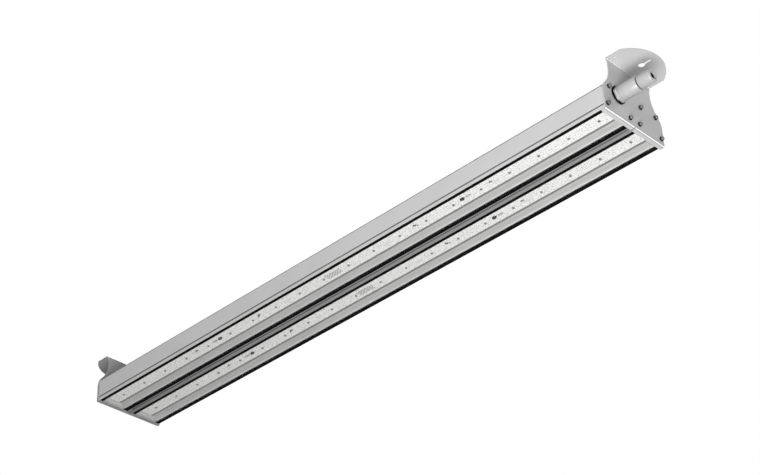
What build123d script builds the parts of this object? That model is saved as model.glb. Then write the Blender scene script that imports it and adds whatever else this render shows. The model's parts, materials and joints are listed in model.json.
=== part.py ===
from build123d import *
import os
from math import asin, degrees

# Twin linear luminaire for halls and workshops, light side down, in millimetres.
# X runs along the luminaire towards its cable entry, Y runs across it and Z is up.
# z = 0 is the underside of the tabs on the end plates, the lowest faces of the luminaire.
# A module's own section is drawn in (u, z), where u = 0 is the module's centre line.

# Layout
PLATE_SPAN = 1418.0          # from the outer face of one end plate to that of the other
MODULE_SPACING = 90.0        # between the centre lines of the two modules
SHEET = 2.0                  # steel of the end plates
END_GASKET = 1.5             # sheet gasket between a module and an end plate
SEAT_GAP = 0.3               # clearance where a piece rests loosely on another
SLIP = 0.1                   # clearance round a piece that slides into another
TINY = 1e-6                  # two places closer than this are one place

# Module extrusion
HALF_WIDTH = 37.5
SIDE_HEIGHT = 56.5           # top of the rounded side corners
CORNER_R = 4.5
WALL = 2.4
LIP_BOTTOM = 3.0             # lower edge of the outer lips
LIP_WALL = 1.3
LEDGE_Z = 7.0                # underside of the ledge above the glass seals
LEDGE_U = 29.0               # inner edge of that ledge
NOSE = 1.6                   # rounded nose of the ledge
WEB_BOTTOM = 19.6            # face that carries the LED boards
WEB_TOP = 23.6
WEB_U = 25.4                 # half width of that face
GROOVE_Z = 12.3              # middle of the groove along each side
GROOVE_WIDTH = 3.4
GROOVE_DEPTH = 1.8
CHANNEL_U = 33.2             # slot for the seal's stem
CHANNEL_WIDTH = 1.6
CHANNEL_DEPTH = 3.2
SHOULDER_Z = 61.2            # outer shoulder over the upper screw ports
SHOULDER_IN = 27.0
SHOULDER_OUT = 18.6
ROOF_Z = 66.0
ROOF_U = 16.4
ROOF_WALL = 2.2
FIN_PITCH = 6.0
FINS_EACH_SIDE = 4
FIN_WALL = 1.8
FIN_TOP = 76.0               # crown of the middle fin
FIN_CURVE = 0.0175           # fall of the fin tips, per mm squared from the centre
RAIL = 1.9                   # reach of the ribs that hold the driver tray
RAIL_WALL = 1.2
TRAY_Z = 29.3                # underside of the driver tray
TRAY_SHEET = 1.6

# Screw ports in the extrusion
PORT_LOW_U = 31.5
PORT_LOW_Z = 14.5
PORT_HIGH_U = 22.0
PORT_HIGH_Z = 57.0
PORT_R = 2.0
PORT_BOSS_R = 3.9

# Glass pane and its seals
GLASS = 3.0
GLASS_EDGE_U = 34.6
SEAL_INNER_U = 30.7
SEAL_OUTER_U = 37.2
SEAL_FOOT = 0.9              # seal below the glass
STEM_WIDTH = 1.2
STEM_HEIGHT = 2.9
BARB = 0.15

# LED boards
BOARDS = 5
BOARD_END_GAP = 5.5          # from a module's end to its first board
BOARD_GAP = 0.4              # between neighbouring boards
BOARD_WIDTH = 33.2
BOARD_THICK = 1.6
BOARD_HOLES = 4
BOARD_HOLE_R = 1.7
CHIPS_PER_ROW = 14
CHIP_ROW_U = 10.6
CHIP_LENGTH = 3.5
CHIP_WIDTH = 2.8
CHIP_HEIGHT = 0.7
BOARD_SCREW_R = 1.45
TAPPED_R = 1.5
BOARD_HEAD_R = 2.6
BOARD_HEAD = 1.9
BOARD_SCREW_GRIP = 5.0
LINK_LENGTH = 16.0           # plug-in bridge between neighbouring boards
LINK_WIDTH = 7.0
LINK_HEIGHT = 2.2
SMALL_SIDES = 8              # facets round the many small screws and holes of the boards

# End plates
PLATE_WIDTH = 169.0
PLATE_SIDE_Z = 41.0          # top of the straight lower sides
LOWER_ARC_R = 34.0
NECK_WIDTH = 120.0
NECK_Z = 102.0               # where the concave arcs end
FLARE_Z = 108.0
FLANGE_Z = 122.8             # underside of the mounting flange
FLANGE_WIDTH = 127.0
FLANGE_REACH = 67.0
FLANGE_STRAIGHT = 32.0       # straight side before the rounded end
BEND_R = 1.5
TAB_LENGTH = 10.5
TAB_CORNER_R = 2.0
NOTCH_WIDTH = 3.0
NOTCH_TOP = 6.0
KEY_HEAD_R = 6.25
KEY_HEAD_X = 31.0            # from the plate's outer face
KEY_SLOT_WIDTH = 5.0
KEY_SLOT_END = 52.0
SIDE_HOLE_R = 2.5
SIDE_HOLE_X = 11.0
SIDE_HOLE_Y = 52.0
PLATE_HOLE_R = 2.25
GASKET_MARGIN = 0.4

# Socket screws that hold the end plates
SCREW_R = 1.95
SCREW_LENGTH = 18.0
SCREW_HEAD_R = 3.5
SCREW_HEAD = 4.0
SCREW_SOCKET_AF = 3.0
SCREW_SOCKET_DEPTH = 2.0
WASHER_R = 4.6               # sealing washer
WASHER = 1.6
SCREW_SIDES = 16             # facets round each screw and washer

# Cable gland, measured outwards from the feed plate's outer face
GLAND_Y = -41.5
GLAND_Z = 50.5
GLAND_RING_R = 18.2
GLAND_RING = 3.0
GLAND_HEX_AF = 30.0
GLAND_HEX = 5.0
GLAND_HEX_CORNER = 1.7       # the hexagon's corners are turned down this far outside its flats
GLAND_BODY_R = 15.4
GLAND_FOOT_INSET = 0.6       # the body's foot inside the hexagon
GLAND_EDGE = 1.0
GLAND_BODY_END = 48.0
GLAND_NECK_R = 11.8
GLAND_NECK_END = 62.0
GLAND_THREAD_R = 9.95
GLAND_TAIL = 11.0            # thread behind the plate's outer face
GLAND_BORE_R = 8.2
GLAND_SEAT_R = 9.6
GLAND_SEAT_START = 38.0
GLAND_HOLE_R = 10.15
CAP_R = 13.5
CAP_START = 49.5
CAP_END = 77.5
CAP_MOUTH_R = 7.6
CAP_FOOT_EDGE = 0.8
CAP_EDGE = 2.4
CAP_SEAT_GAP = 0.6           # cap above the body's neck
CONE_RISE = 2.0              # where the cap squeezes the insert
INSERT_SET_BACK = 0.8
CABLE_R = 5.2
NUT_AF = 24.0
NUT = 4.5

# Drivers and wiring inside the modules
TRAY_INSET = 60.5            # from the module's feed end to the tray
TRAY_MARGIN = 20.0           # tray beyond the driver
DRIVER_LENGTH = 360.0
DRIVER_WIDTH = 42.0
DRIVER_HEIGHT = 21.0
DRIVER_EDGE_R = 1.5
DRIVER_EAR = 12.0
DRIVER_EAR_THICK = 1.5
EAR_SCREW_R = 1.45
EAR_HEAD_R = 2.8
EAR_HEAD = 2.0
EAR_SCREW_REACH = 1.0        # thread below the tray
TERMINAL_LENGTH = 20.0
TERMINAL_WIDTH = 30.0
TERMINAL_HEIGHT = 16.0
TERMINAL_INSET = 92.5        # from the module's feed end to the block's middle
TERMINAL_GAP = 18.0          # from the driver to the block
TERMINAL_WAYS = 3
TERMINAL_SCREW_DEPTH = 5.0
TERMINAL_ENTRY = 6.0
LEAD_DROP = 44.0             # least run from the driver to the grommet
GROMMET_SHIFT = 11.0         # from the grommet to the board screw beside it
GROMMET_R = 4.6
GROMMET_BORE_R = 2.2
GROMMET_FLANGE = 1.2
WEB_HOLE_R = 3.4
LEAD_R = 1.9
LEAD_BEND = 0.45             # share of the shorter run that a bend takes
BRIDGE_INSET = 51.5          # from the modules' feed end to the tube that links them
BRIDGE_R = 5.5
BRIDGE_WALL = 1.2
BRIDGE_FLANGE_R = 8.0
BRIDGE_FLANGE = 1.5
BRIDGE_REACH = 3.0           # tube inside each module

# Worked out from the sizes above
PLATE_X = PLATE_SPAN / 2
MODULE_END = PLATE_X - SHEET - END_GASKET
BEND_OUT = BEND_R + SHEET
FLANK_Z = LEDGE_Z + 2 * NOSE
SEAL_BOTTOM = SHEET + SEAT_GAP
GLASS_Z = SEAL_BOTTOM + SEAL_FOOT
BOARD_Z = WEB_BOTTOM - BOARD_THICK
TRAY_TOP = TRAY_Z + TRAY_SHEET
ORIGIN_X = (CAP_END - FLANGE_REACH) / 2
MODULES = {"front": -MODULE_SPACING / 2, "rear": MODULE_SPACING / 2}
PORTS = [
    (side * u, z)
    for u, z in ((PORT_LOW_U, PORT_LOW_Z), (PORT_HIGH_U, PORT_HIGH_Z))
    for side in (-1, 1)
]
BOARD_PITCH = 2 * (MODULE_END - BOARD_END_GAP) / BOARDS
BOARD_LENGTH = BOARD_PITCH - BOARD_GAP
BOARD_HOLE_PITCH = BOARD_PITCH / BOARD_HOLES
CHIP_PITCH = BOARD_PITCH / CHIPS_PER_ROW
BOARD_CENTRES = [BOARD_PITCH * (k - (BOARDS - 1) / 2) for k in range(BOARDS)]
BOARD_SCREWS_X = [
    centre + BOARD_HOLE_PITCH * (k - (BOARD_HOLES - 1) / 2)
    for centre in BOARD_CENTRES
    for k in range(BOARD_HOLES)
]
TERMINAL_X = MODULE_END - TERMINAL_INSET
DRIVER_END = TERMINAL_X - TERMINAL_LENGTH / 2 - TERMINAL_GAP
DRIVER_X = DRIVER_END - DRIVER_LENGTH / 2
DRIVER_START = DRIVER_END - DRIVER_LENGTH
TRAY_START = DRIVER_START - TRAY_MARGIN
TRAY_END = MODULE_END - TRAY_INSET
GROMMET_X = max(x for x in BOARD_SCREWS_X if x < DRIVER_START - LEAD_DROP) + GROMMET_SHIFT
BRIDGE_X = MODULE_END - BRIDGE_INSET
LEAD_Z = TRAY_TOP + TERMINAL_HEIGHT / 2

BASE = (Align.CENTER, Align.CENTER, Align.MIN)


def mirrored(points):
    """Closed face from the points of its right half, listed bottom to top."""
    left = [(-u, z) for u, z in reversed(points) if u > 0]
    return Polygon(*points, *left, align=None)


def along_x(face, x_from, x_to):
    """Extrude a (y, z) face between two stations."""
    return extrude(Plane.YZ.offset(x_from) * face, amount=x_to - x_from)


def upright(radius, z_from, z_to, x=0.0, y=0.0):
    """Vertical cylinder."""
    return Pos(x, y, z_from) * Cylinder(radius, z_to - z_from, align=BASE)


def small_upright(radius, z_from, z_to, x):
    """Vertical pin or hole with few facets, for what repeats along the boards."""
    section = Plane.XY.offset(z_from) * RegularPolygon(radius, SMALL_SIDES)
    return Pos(x, 0, 0) * extrude(section, amount=z_to - z_from)


def lathe_x(outline):
    """Turned piece about the X axis from (x, r) points."""
    face = make_face(Polyline(*outline, close=True))
    return revolve(face, Axis.X)


def group(solids):
    """Several separate solids that share one node."""
    return Compound([piece for solid in solids for piece in solid.solids()])


def port_circles(radius):
    return Sketch() + [Pos(u, z) * Circle(radius) for u, z in PORTS]


def port_bosses():
    """Round walls of the upper ports, which stand into the chamber."""
    return Sketch() + [Pos(side * PORT_HIGH_U, PORT_HIGH_Z) * Circle(PORT_BOSS_R) for side in (-1, 1)]


# Module extrusion

def outer_face():
    """Outside of the extrusion without its fins, with recess, seal channels and side grooves."""
    groove_low = GROOVE_Z - GROOVE_WIDTH / 2
    groove_high = GROOVE_Z + GROOVE_WIDTH / 2
    groove_u = HALF_WIDTH - GROOVE_DEPTH
    channel_top = LEDGE_Z + CHANNEL_DEPTH
    lip_u = HALF_WIDTH - LIP_WALL
    points = [
        (0, WEB_BOTTOM), (WEB_U, WEB_BOTTOM),
        (LEDGE_U - NOSE / 2, FLANK_Z), (LEDGE_U, FLANK_Z - NOSE / 2), (LEDGE_U, LEDGE_Z + NOSE / 2),
        (LEDGE_U + NOSE / 2, LEDGE_Z),
        (CHANNEL_U, LEDGE_Z), (CHANNEL_U, channel_top),
        (CHANNEL_U + CHANNEL_WIDTH, channel_top), (CHANNEL_U + CHANNEL_WIDTH, LEDGE_Z),
        (lip_u, LEDGE_Z), (lip_u, LIP_BOTTOM), (HALF_WIDTH, LIP_BOTTOM),
        (HALF_WIDTH, groove_low), (groove_u, groove_low), (groove_u, groove_high), (HALF_WIDTH, groove_high),
        (HALF_WIDTH, SIDE_HEIGHT), (HALF_WIDTH - 2 * CORNER_R, SIDE_HEIGHT),
        (SHOULDER_IN, SHOULDER_Z), (SHOULDER_OUT, SHOULDER_Z), (ROOF_U, ROOF_Z), (0, ROOF_Z),
    ]
    face = mirrored(points)
    corners = [v for v in face.vertices() if abs(abs(v.X) - HALF_WIDTH) < TINY and v.Y > SIDE_HEIGHT - TINY]
    return fillet(corners, CORNER_R)


def chamber_face():
    """Hollow of the extrusion that holds the driver."""
    side = HALF_WIDTH - WALL
    top = ROOF_Z - ROOF_WALL
    shoulder = SHOULDER_Z - WALL
    return mirrored([
        (0, WEB_TOP), (side, WEB_TOP),
        (side, TRAY_Z - SLIP - RAIL_WALL), (side - RAIL, TRAY_Z - SLIP - RAIL_WALL),
        (side - RAIL, TRAY_Z - SLIP), (side, TRAY_Z - SLIP),
        (side, TRAY_TOP + SLIP), (side - RAIL, TRAY_TOP + SLIP),
        (side - RAIL, TRAY_TOP + SLIP + RAIL_WALL), (side, TRAY_TOP + SLIP + RAIL_WALL),
        (side, SIDE_HEIGHT - CORNER_R - WALL / 2), (side - CORNER_R, SIDE_HEIGHT - WALL),
        (SHOULDER_IN - WALL / 3, shoulder), (SHOULDER_OUT - WALL, shoulder),
        (ROOF_U - WALL, top), (0, top),
    ])


def fin_face():
    """Crowned row of cooling fins, rooted in the roof and the shoulders."""
    fins = Sketch()
    for k in range(-FINS_EACH_SIDE, FINS_EACH_SIDE + 1):
        u = k * FIN_PITCH
        root = (ROOF_Z if abs(u) < ROOF_U else SHOULDER_Z) - ROOF_WALL / 2
        tip = FIN_TOP - FIN_CURVE * u * u
        fins += Pos(u, (root + tip) / 2) * Rectangle(FIN_WALL, tip - root)
    return fins


def extrusion_face():
    shell = outer_face() - chamber_face() + fin_face()
    return shell + port_bosses() - port_circles(PORT_R)


def housing(side):
    """Extrusion of one module; side is +1 where its +Y wall faces the other module."""
    body = along_x(extrusion_face(), -MODULE_END, MODULE_END)
    holes = [small_upright(TAPPED_R, WEB_BOTTOM, WEB_TOP, x) for x in BOARD_SCREWS_X]
    holes.append(upright(WEB_HOLE_R, WEB_BOTTOM, WEB_TOP, GROMMET_X))
    wall = Pos(BRIDGE_X, side * (HALF_WIDTH - WALL / 2), LEAD_Z) * Rot(90, 0, 0)
    holes.append(wall * Cylinder(BRIDGE_R, 2 * WALL))
    return body - holes


# Glass pane and its seals

def seal(side):
    """U seal along one edge of the glass, with a stem that grips the extrusion."""
    outer = HALF_WIDTH - LIP_WALL
    stem = CHANNEL_U + (CHANNEL_WIDTH - STEM_WIDTH) / 2
    stem_top = LEDGE_Z + STEM_HEIGHT
    barb_z = LEDGE_Z + STEM_HEIGHT / 2
    slot_u = GLASS_EDGE_U + SLIP
    points = [
        (SEAL_INNER_U, SEAL_BOTTOM), (SEAL_OUTER_U, SEAL_BOTTOM), (SEAL_OUTER_U, LIP_BOTTOM),
        (outer, LIP_BOTTOM), (outer, LEDGE_Z),
        (stem + STEM_WIDTH, LEDGE_Z), (stem + STEM_WIDTH, barb_z), (stem + STEM_WIDTH + BARB, barb_z),
        (stem + STEM_WIDTH, stem_top), (stem, stem_top), (stem - BARB, barb_z), (stem, barb_z),
        (stem, LEDGE_Z), (SEAL_INNER_U, LEDGE_Z),
        (SEAL_INNER_U, GLASS_Z + GLASS), (slot_u, GLASS_Z + GLASS),
        (slot_u, GLASS_Z), (SEAL_INNER_U, GLASS_Z),
    ]
    strip = along_x(Polygon(*points, align=None), -MODULE_END, MODULE_END)
    return strip if side > 0 else mirror(strip, Plane.XZ)


def glass_pane():
    pane = Pos(0, GLASS_Z + GLASS / 2) * Rectangle(2 * GLASS_EDGE_U, GLASS)
    return along_x(pane, -MODULE_END, MODULE_END)


# LED boards

def led_board(centre):
    plate = Pos(centre, 0, BOARD_Z) * Box(BOARD_LENGTH, BOARD_WIDTH, BOARD_THICK, align=BASE)
    own = [x for x in BOARD_SCREWS_X if abs(x - centre) < BOARD_LENGTH / 2]
    return plate - [small_upright(BOARD_HOLE_R, BOARD_Z, WEB_BOTTOM, x) for x in own]


def led_chips():
    chips = []
    for centre in BOARD_CENTRES:
        for k in range(CHIPS_PER_ROW):
            x = centre + CHIP_PITCH * (k - (CHIPS_PER_ROW - 1) / 2)
            for u in (-CHIP_ROW_U, CHIP_ROW_U):
                chip = Box(CHIP_LENGTH, CHIP_WIDTH, CHIP_HEIGHT, align=BASE)
                chips.append(Pos(x, u, BOARD_Z - CHIP_HEIGHT) * chip)
    return group(chips)


def board_screws():
    screws = []
    for x in BOARD_SCREWS_X:
        head = small_upright(BOARD_HEAD_R, BOARD_Z - BOARD_HEAD, BOARD_Z, x)
        screws.append(head + small_upright(BOARD_SCREW_R, BOARD_Z, BOARD_Z + BOARD_SCREW_GRIP, x))
    return group(screws)


def board_links():
    joints = [(a + b) / 2 for a, b in zip(BOARD_CENTRES, BOARD_CENTRES[1:])]
    link = Box(LINK_LENGTH, LINK_WIDTH, LINK_HEIGHT, align=BASE)
    return group(Pos(x, 0, BOARD_Z - LINK_HEIGHT) * link for x in joints)


# End plates

def plate_side_view():
    """Folded strip in (x, z), for a plate whose outer face is x = 0."""
    tab = Pos(-(TAB_LENGTH + BEND_OUT) / 2, SHEET / 2) * Rectangle(TAB_LENGTH - BEND_OUT, SHEET)
    web_low = BEND_OUT
    web_high = FLANGE_Z - BEND_R
    web = Pos(-SHEET / 2, (web_low + web_high) / 2) * Rectangle(SHEET, web_high - web_low)
    flange = Pos((BEND_R + FLANGE_REACH) / 2, FLANGE_Z + SHEET / 2) * Rectangle(FLANGE_REACH - BEND_R, SHEET)
    low_bend = bend_ring(-BEND_OUT, BEND_OUT, 1, -1)
    high_bend = bend_ring(BEND_R, web_high, -1, 1)
    return tab + web + flange + low_bend + high_bend


def bend_ring(x, z, side_x, side_z):
    """Quarter of a ring round (x, z) that joins two faces of the folded sheet."""
    ring = Circle(BEND_OUT) - Circle(BEND_R)
    quarter = Pos(side_x * BEND_OUT / 2, side_z * BEND_OUT / 2) * Rectangle(BEND_OUT, BEND_OUT)
    return Pos(x, z) * (ring & quarter)


def plate_front_view():
    """Outline in (y, z): straight lower sides, S-curved shoulders, neck and flared top."""
    half = PLATE_WIDTH / 2
    neck = NECK_WIDTH / 2
    rise = NECK_Z - PLATE_SIDE_Z
    step = half - neck
    reach = (rise * rise + step * step) / (2 * step)
    upper_r = reach - LOWER_ARC_R
    turn = degrees(asin(rise / reach))
    flare_rise = FLANGE_Z - BEND_R - FLARE_Z
    flare_step = FLANGE_WIDTH / 2 - neck
    flare_r = (flare_rise * flare_rise + flare_step * flare_step) / (2 * flare_step)
    flare_turn = degrees(asin(flare_rise / flare_r))
    top = FLANGE_Z + SHEET
    side = Line((half, 0), (half, PLATE_SIDE_Z))
    lower = CenterArc((half - LOWER_ARC_R, PLATE_SIDE_Z), LOWER_ARC_R, 0, turn)
    upper = CenterArc((neck + upper_r, NECK_Z), upper_r, 180, turn)
    neck_line = Line((neck, NECK_Z), (neck, FLARE_Z))
    flare = CenterArc((neck + flare_r, FLARE_Z), flare_r, 180 - flare_turn, flare_turn)
    cap = Polyline(flare @ 0, (FLANGE_WIDTH / 2, top), (0, top))
    right = side + lower + upper + neck_line + flare + cap + Line((0, top), (0, 0)) + Line((0, 0), (half, 0))
    face = make_face(right)
    return face + mirror(face, Plane.YZ)


def flange_top_view():
    """Outline in (x, y) of the flange: straight sides and one wide arc at the end."""
    half = FLANGE_WIDTH / 2
    edge = Polyline((-SHEET, half), (-SHEET, -half), (FLANGE_STRAIGHT, -half))
    arc = ThreePointArc((FLANGE_STRAIGHT, -half), (FLANGE_REACH, 0), (FLANGE_STRAIGHT, half))
    return make_face(edge + arc + Line((FLANGE_STRAIGHT, half), (-SHEET, half)))


def keyhole():
    slot_end = KEY_SLOT_END - KEY_SLOT_WIDTH / 2
    slot = Pos((KEY_HEAD_X + slot_end) / 2, 0) * Rectangle(slot_end - KEY_HEAD_X, KEY_SLOT_WIDTH)
    return Pos(KEY_HEAD_X, 0) * Circle(KEY_HEAD_R) + slot + Pos(slot_end, 0) * Circle(KEY_SLOT_WIDTH / 2)


def end_plate(with_gland):
    """Folded end plate in its own frame: outer face at x = 0, flange towards +X."""
    width = PLATE_WIDTH
    strip = extrude(Plane.XZ * plate_side_view(), amount=width / 2, both=True)
    front = along_x(plate_front_view(), -TAB_LENGTH, FLANGE_REACH)
    flange_room = Pos(0, 0, FLANGE_Z - BEND_R) * extrude(flange_top_view(), amount=SHEET + BEND_R)
    below = Box(2 * FLANGE_REACH, width, FLANGE_Z - BEND_R, align=BASE)
    plate = strip & front & (flange_room + below)
    cuts = [Pos(0, 0, FLANGE_Z) * extrude(keyhole(), amount=SHEET)]
    for side in (-1, 1):
        cuts.append(upright(SIDE_HOLE_R, FLANGE_Z, FLANGE_Z + SHEET, SIDE_HOLE_X, side * SIDE_HOLE_Y))
    notch = Pos(0, NOTCH_TOP / 2) * Rectangle(NOTCH_WIDTH, NOTCH_TOP)
    notch += Pos(0, NOTCH_TOP) * Circle(NOTCH_WIDTH / 2)
    cuts.append(along_x(notch, -TAB_LENGTH, 0))
    cuts += [along_x(Pos(y, z) * Circle(PLATE_HOLE_R), -SHEET, 0) for y, z in plate_holes(with_gland)]
    if with_gland:
        cuts.append(along_x(Pos(GLAND_Y, GLAND_Z) * Circle(GLAND_HOLE_R), -SHEET, 0))
    plate = plate - cuts
    corners = plate.edges().filter_by(Axis.Z).group_by(Axis.X)[0]
    return fillet(corners, TAB_CORNER_R)


def end_gasket():
    """Sheet gasket over a module's end, open where the driver chamber is."""
    outline = mirrored([
        (0, BEND_OUT + GASKET_MARGIN), (HALF_WIDTH - GASKET_MARGIN, BEND_OUT + GASKET_MARGIN),
        (HALF_WIDTH - GASKET_MARGIN, SIDE_HEIGHT - CORNER_R),
        (HALF_WIDTH - CORNER_R, SIDE_HEIGHT - GASKET_MARGIN),
        (SHOULDER_IN, SHOULDER_Z - GASKET_MARGIN), (SHOULDER_OUT, SHOULDER_Z - GASKET_MARGIN),
        (ROOF_U - GASKET_MARGIN, ROOF_Z - GASKET_MARGIN), (0, ROOF_Z - GASKET_MARGIN),
    ])
    face = outline - chamber_face() + (port_bosses() & outline) - port_circles(PLATE_HOLE_R)
    return along_x(face, MODULE_END, MODULE_END + END_GASKET)


def plate_screw():
    """Socket-head screw that enters along -X; its washer stands on x = 0."""
    head_end = WASHER + SCREW_HEAD
    shank = along_x(RegularPolygon(SCREW_R, SCREW_SIDES), -SCREW_LENGTH, WASHER)
    head = along_x(RegularPolygon(SCREW_HEAD_R, SCREW_SIDES), WASHER, head_end)
    socket = RegularPolygon(SCREW_SOCKET_AF / 2, 6, major_radius=False)
    return shank + head - along_x(socket, head_end - SCREW_SOCKET_DEPTH, head_end)


def plate_washer():
    hole = RegularPolygon(SCREW_R + SLIP, SCREW_SIDES, major_radius=False)
    return along_x(RegularPolygon(WASHER_R, SCREW_SIDES) - hole, 0, WASHER)


def plate_holes(with_gland):
    """Screw holes of an end plate: one at each port that the gland's sealing ring leaves free."""
    holes = [(centre + u, z) for centre in MODULES.values() for u, z in PORTS]
    if not with_gland:
        return holes
    keep_off = GLAND_RING_R + WASHER_R
    return [(y, z) for y, z in holes if (y - GLAND_Y) ** 2 + (z - GLAND_Z) ** 2 > keep_off ** 2]


def at_holes(piece, with_gland):
    """One copy of a piece at each screw hole of an end plate."""
    return [Pos(0, y, z) * piece for y, z in plate_holes(with_gland)]


# Cable gland, in its own frame: axis X, feed plate's outer face at x = 0

def gland_ring():
    return along_x(Circle(GLAND_RING_R) - Circle(GLAND_THREAD_R + SLIP), 0, GLAND_RING)


def gland_body():
    hex_end = GLAND_RING + GLAND_HEX
    foot_r = GLAND_BODY_R - GLAND_FOOT_INSET
    body = lathe_x([
        (-GLAND_TAIL, GLAND_BORE_R), (-GLAND_TAIL, GLAND_THREAD_R), (GLAND_RING, GLAND_THREAD_R),
        (GLAND_RING, foot_r), (hex_end, foot_r), (hex_end, GLAND_BODY_R),
        (GLAND_BODY_END - GLAND_EDGE, GLAND_BODY_R), (GLAND_BODY_END, GLAND_BODY_R - GLAND_EDGE),
        (GLAND_BODY_END, GLAND_NECK_R), (GLAND_NECK_END, GLAND_NECK_R), (GLAND_NECK_END, GLAND_SEAT_R),
        (GLAND_SEAT_START, GLAND_SEAT_R), (GLAND_SEAT_START, GLAND_BORE_R),
    ])
    hexagon = RegularPolygon(GLAND_HEX_AF / 2, 6, major_radius=False)
    collar = hexagon & Circle(GLAND_HEX_AF / 2 + GLAND_HEX_CORNER)
    return body + along_x(collar - Circle(foot_r - GLAND_EDGE), GLAND_RING, hex_end)


def gland_insert():
    wide = GLAND_SEAT_R - SLIP
    mouth = CAP_MOUTH_R - SLIP
    back = GLAND_SEAT_START + SLIP
    front = CAP_END - INSERT_SET_BACK
    return lathe_x([
        (back, CABLE_R), (back, wide), (GLAND_NECK_END, wide),
        (GLAND_NECK_END + CONE_RISE, mouth), (front, mouth), (front, CABLE_R),
    ])


def gland_cap():
    """Domed cap: its outer rim is turned in two chamfers."""
    inner = GLAND_NECK_R + SLIP
    shoulder = GLAND_NECK_END + CAP_SEAT_GAP
    return lathe_x([
        (CAP_START, inner), (CAP_START, CAP_R - CAP_FOOT_EDGE), (CAP_START + CAP_FOOT_EDGE, CAP_R),
        (CAP_END - CAP_EDGE, CAP_R), (CAP_END - CAP_EDGE / 3, CAP_R - CAP_EDGE / 3),
        (CAP_END, CAP_R - CAP_EDGE),
        (CAP_END, CAP_MOUTH_R), (shoulder + CONE_RISE, CAP_MOUTH_R),
        (shoulder, GLAND_SEAT_R + SLIP), (shoulder, inner),
    ])


def gland_nut():
    nut = RegularPolygon(NUT_AF / 2, 6, major_radius=False) - Circle(GLAND_THREAD_R + SLIP)
    return along_x(nut, -SHEET - NUT, -SHEET)


# Driver, tray and wiring of one module, centred on u = 0

def driver_tray():
    tray_half = HALF_WIDTH - WALL - SLIP
    tray = Box(TRAY_END - TRAY_START, 2 * tray_half, TRAY_SHEET, align=BASE)
    tray = Pos((TRAY_START + TRAY_END) / 2, 0, TRAY_Z) * tray
    return tray - [upright(TAPPED_R, TRAY_Z, TRAY_TOP, x) for x in ear_screws_x()]


def ear_screws_x():
    offset = (DRIVER_LENGTH + DRIVER_EAR) / 2
    return [DRIVER_X - offset, DRIVER_X + offset]


def driver():
    """Potted driver in a metal case with a fixing ear at each end."""
    case = Pos(DRIVER_X, 0, TRAY_TOP) * Box(DRIVER_LENGTH, DRIVER_WIDTH, DRIVER_HEIGHT, align=BASE)
    case = fillet(case.edges().filter_by(Axis.X), DRIVER_EDGE_R)
    ear_length = DRIVER_LENGTH + 2 * DRIVER_EAR
    ears = Pos(DRIVER_X, 0, TRAY_TOP) * Box(ear_length, DRIVER_WIDTH / 2, DRIVER_EAR_THICK, align=BASE)
    holes = [upright(TAPPED_R, TRAY_TOP, TRAY_TOP + DRIVER_EAR_THICK, x) for x in ear_screws_x()]
    return case + ears - holes


def driver_screws():
    seat = TRAY_TOP + DRIVER_EAR_THICK
    screws = []
    for x in ear_screws_x():
        shank = upright(EAR_SCREW_R, TRAY_Z - EAR_SCREW_REACH, seat, x)
        screws.append(shank + upright(EAR_HEAD_R, seat, seat + EAR_HEAD, x))
    return group(screws)


def web_grommet():
    """Rubber grommet in the web, where the driver's lead goes down to the boards."""
    neck = WEB_HOLE_R - SLIP
    top = WEB_TOP + GROMMET_FLANGE
    ring = lathe_z([
        (GROMMET_BORE_R, WEB_BOTTOM), (neck, WEB_BOTTOM), (neck, WEB_TOP),
        (GROMMET_R, WEB_TOP), (GROMMET_R, top), (GROMMET_BORE_R, top),
    ])
    return Pos(GROMMET_X, 0, 0) * ring


def lathe_z(outline):
    """Turned piece about the Z axis from (r, z) points."""
    return revolve(Plane.XZ * make_face(Polyline(*outline, close=True)), Axis.Z)


def lead(points):
    """Lead along straight runs joined by the largest arcs that they allow, or one straight run."""
    section = Plane(origin=points[0], z_dir=points[1] - points[0]) * RegularPolygon(LEAD_R, SMALL_SIDES)
    if len(points) == 2:
        return extrude(section, amount=(points[1] - points[0]).length)
    radii = []
    for a, b, c in zip(points, points[1:], points[2:]):
        run = min((b - a).length, (c - b).length)
        turn = (b - a).get_angle(c - b)
        radii.append(LEAD_BEND * run / tan_half(turn))
    return sweep(section, path=FilletPolyline(*points, radius=radii))


def tan_half(turn):
    """Tangent of half an angle in degrees."""
    half = Vector(1, 0, 0).rotate(Axis.Z, turn / 2)
    return half.Y / half.X


def board_lead():
    """Lead from the driver down through the grommet to the first board."""
    height = TRAY_TOP + DRIVER_HEIGHT / 2
    corner = Vector(GROMMET_X, 0, height)
    return lead([Vector(DRIVER_START, 0, height), corner, Vector(GROMMET_X, 0, WEB_BOTTOM)])


# Pieces of the feed end that link the modules

def terminal_block():
    """Three-way screw terminal on the front module's tray."""
    block = Pos(TERMINAL_X, 0, TRAY_TOP) * Box(TERMINAL_LENGTH, TERMINAL_WIDTH, TERMINAL_HEIGHT, align=BASE)
    way = TERMINAL_WIDTH / TERMINAL_WAYS
    top = TRAY_TOP + TERMINAL_HEIGHT
    face = TERMINAL_X + TERMINAL_LENGTH / 2
    for k in range(TERMINAL_WAYS):
        y = way * (k - (TERMINAL_WAYS - 1) / 2)
        block -= upright(way / 4, top - TERMINAL_SCREW_DEPTH, top, TERMINAL_X, y)
        block -= along_x(Pos(y, LEAD_Z) * Circle(way / 4), face - TERMINAL_ENTRY, face)
    return block


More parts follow.
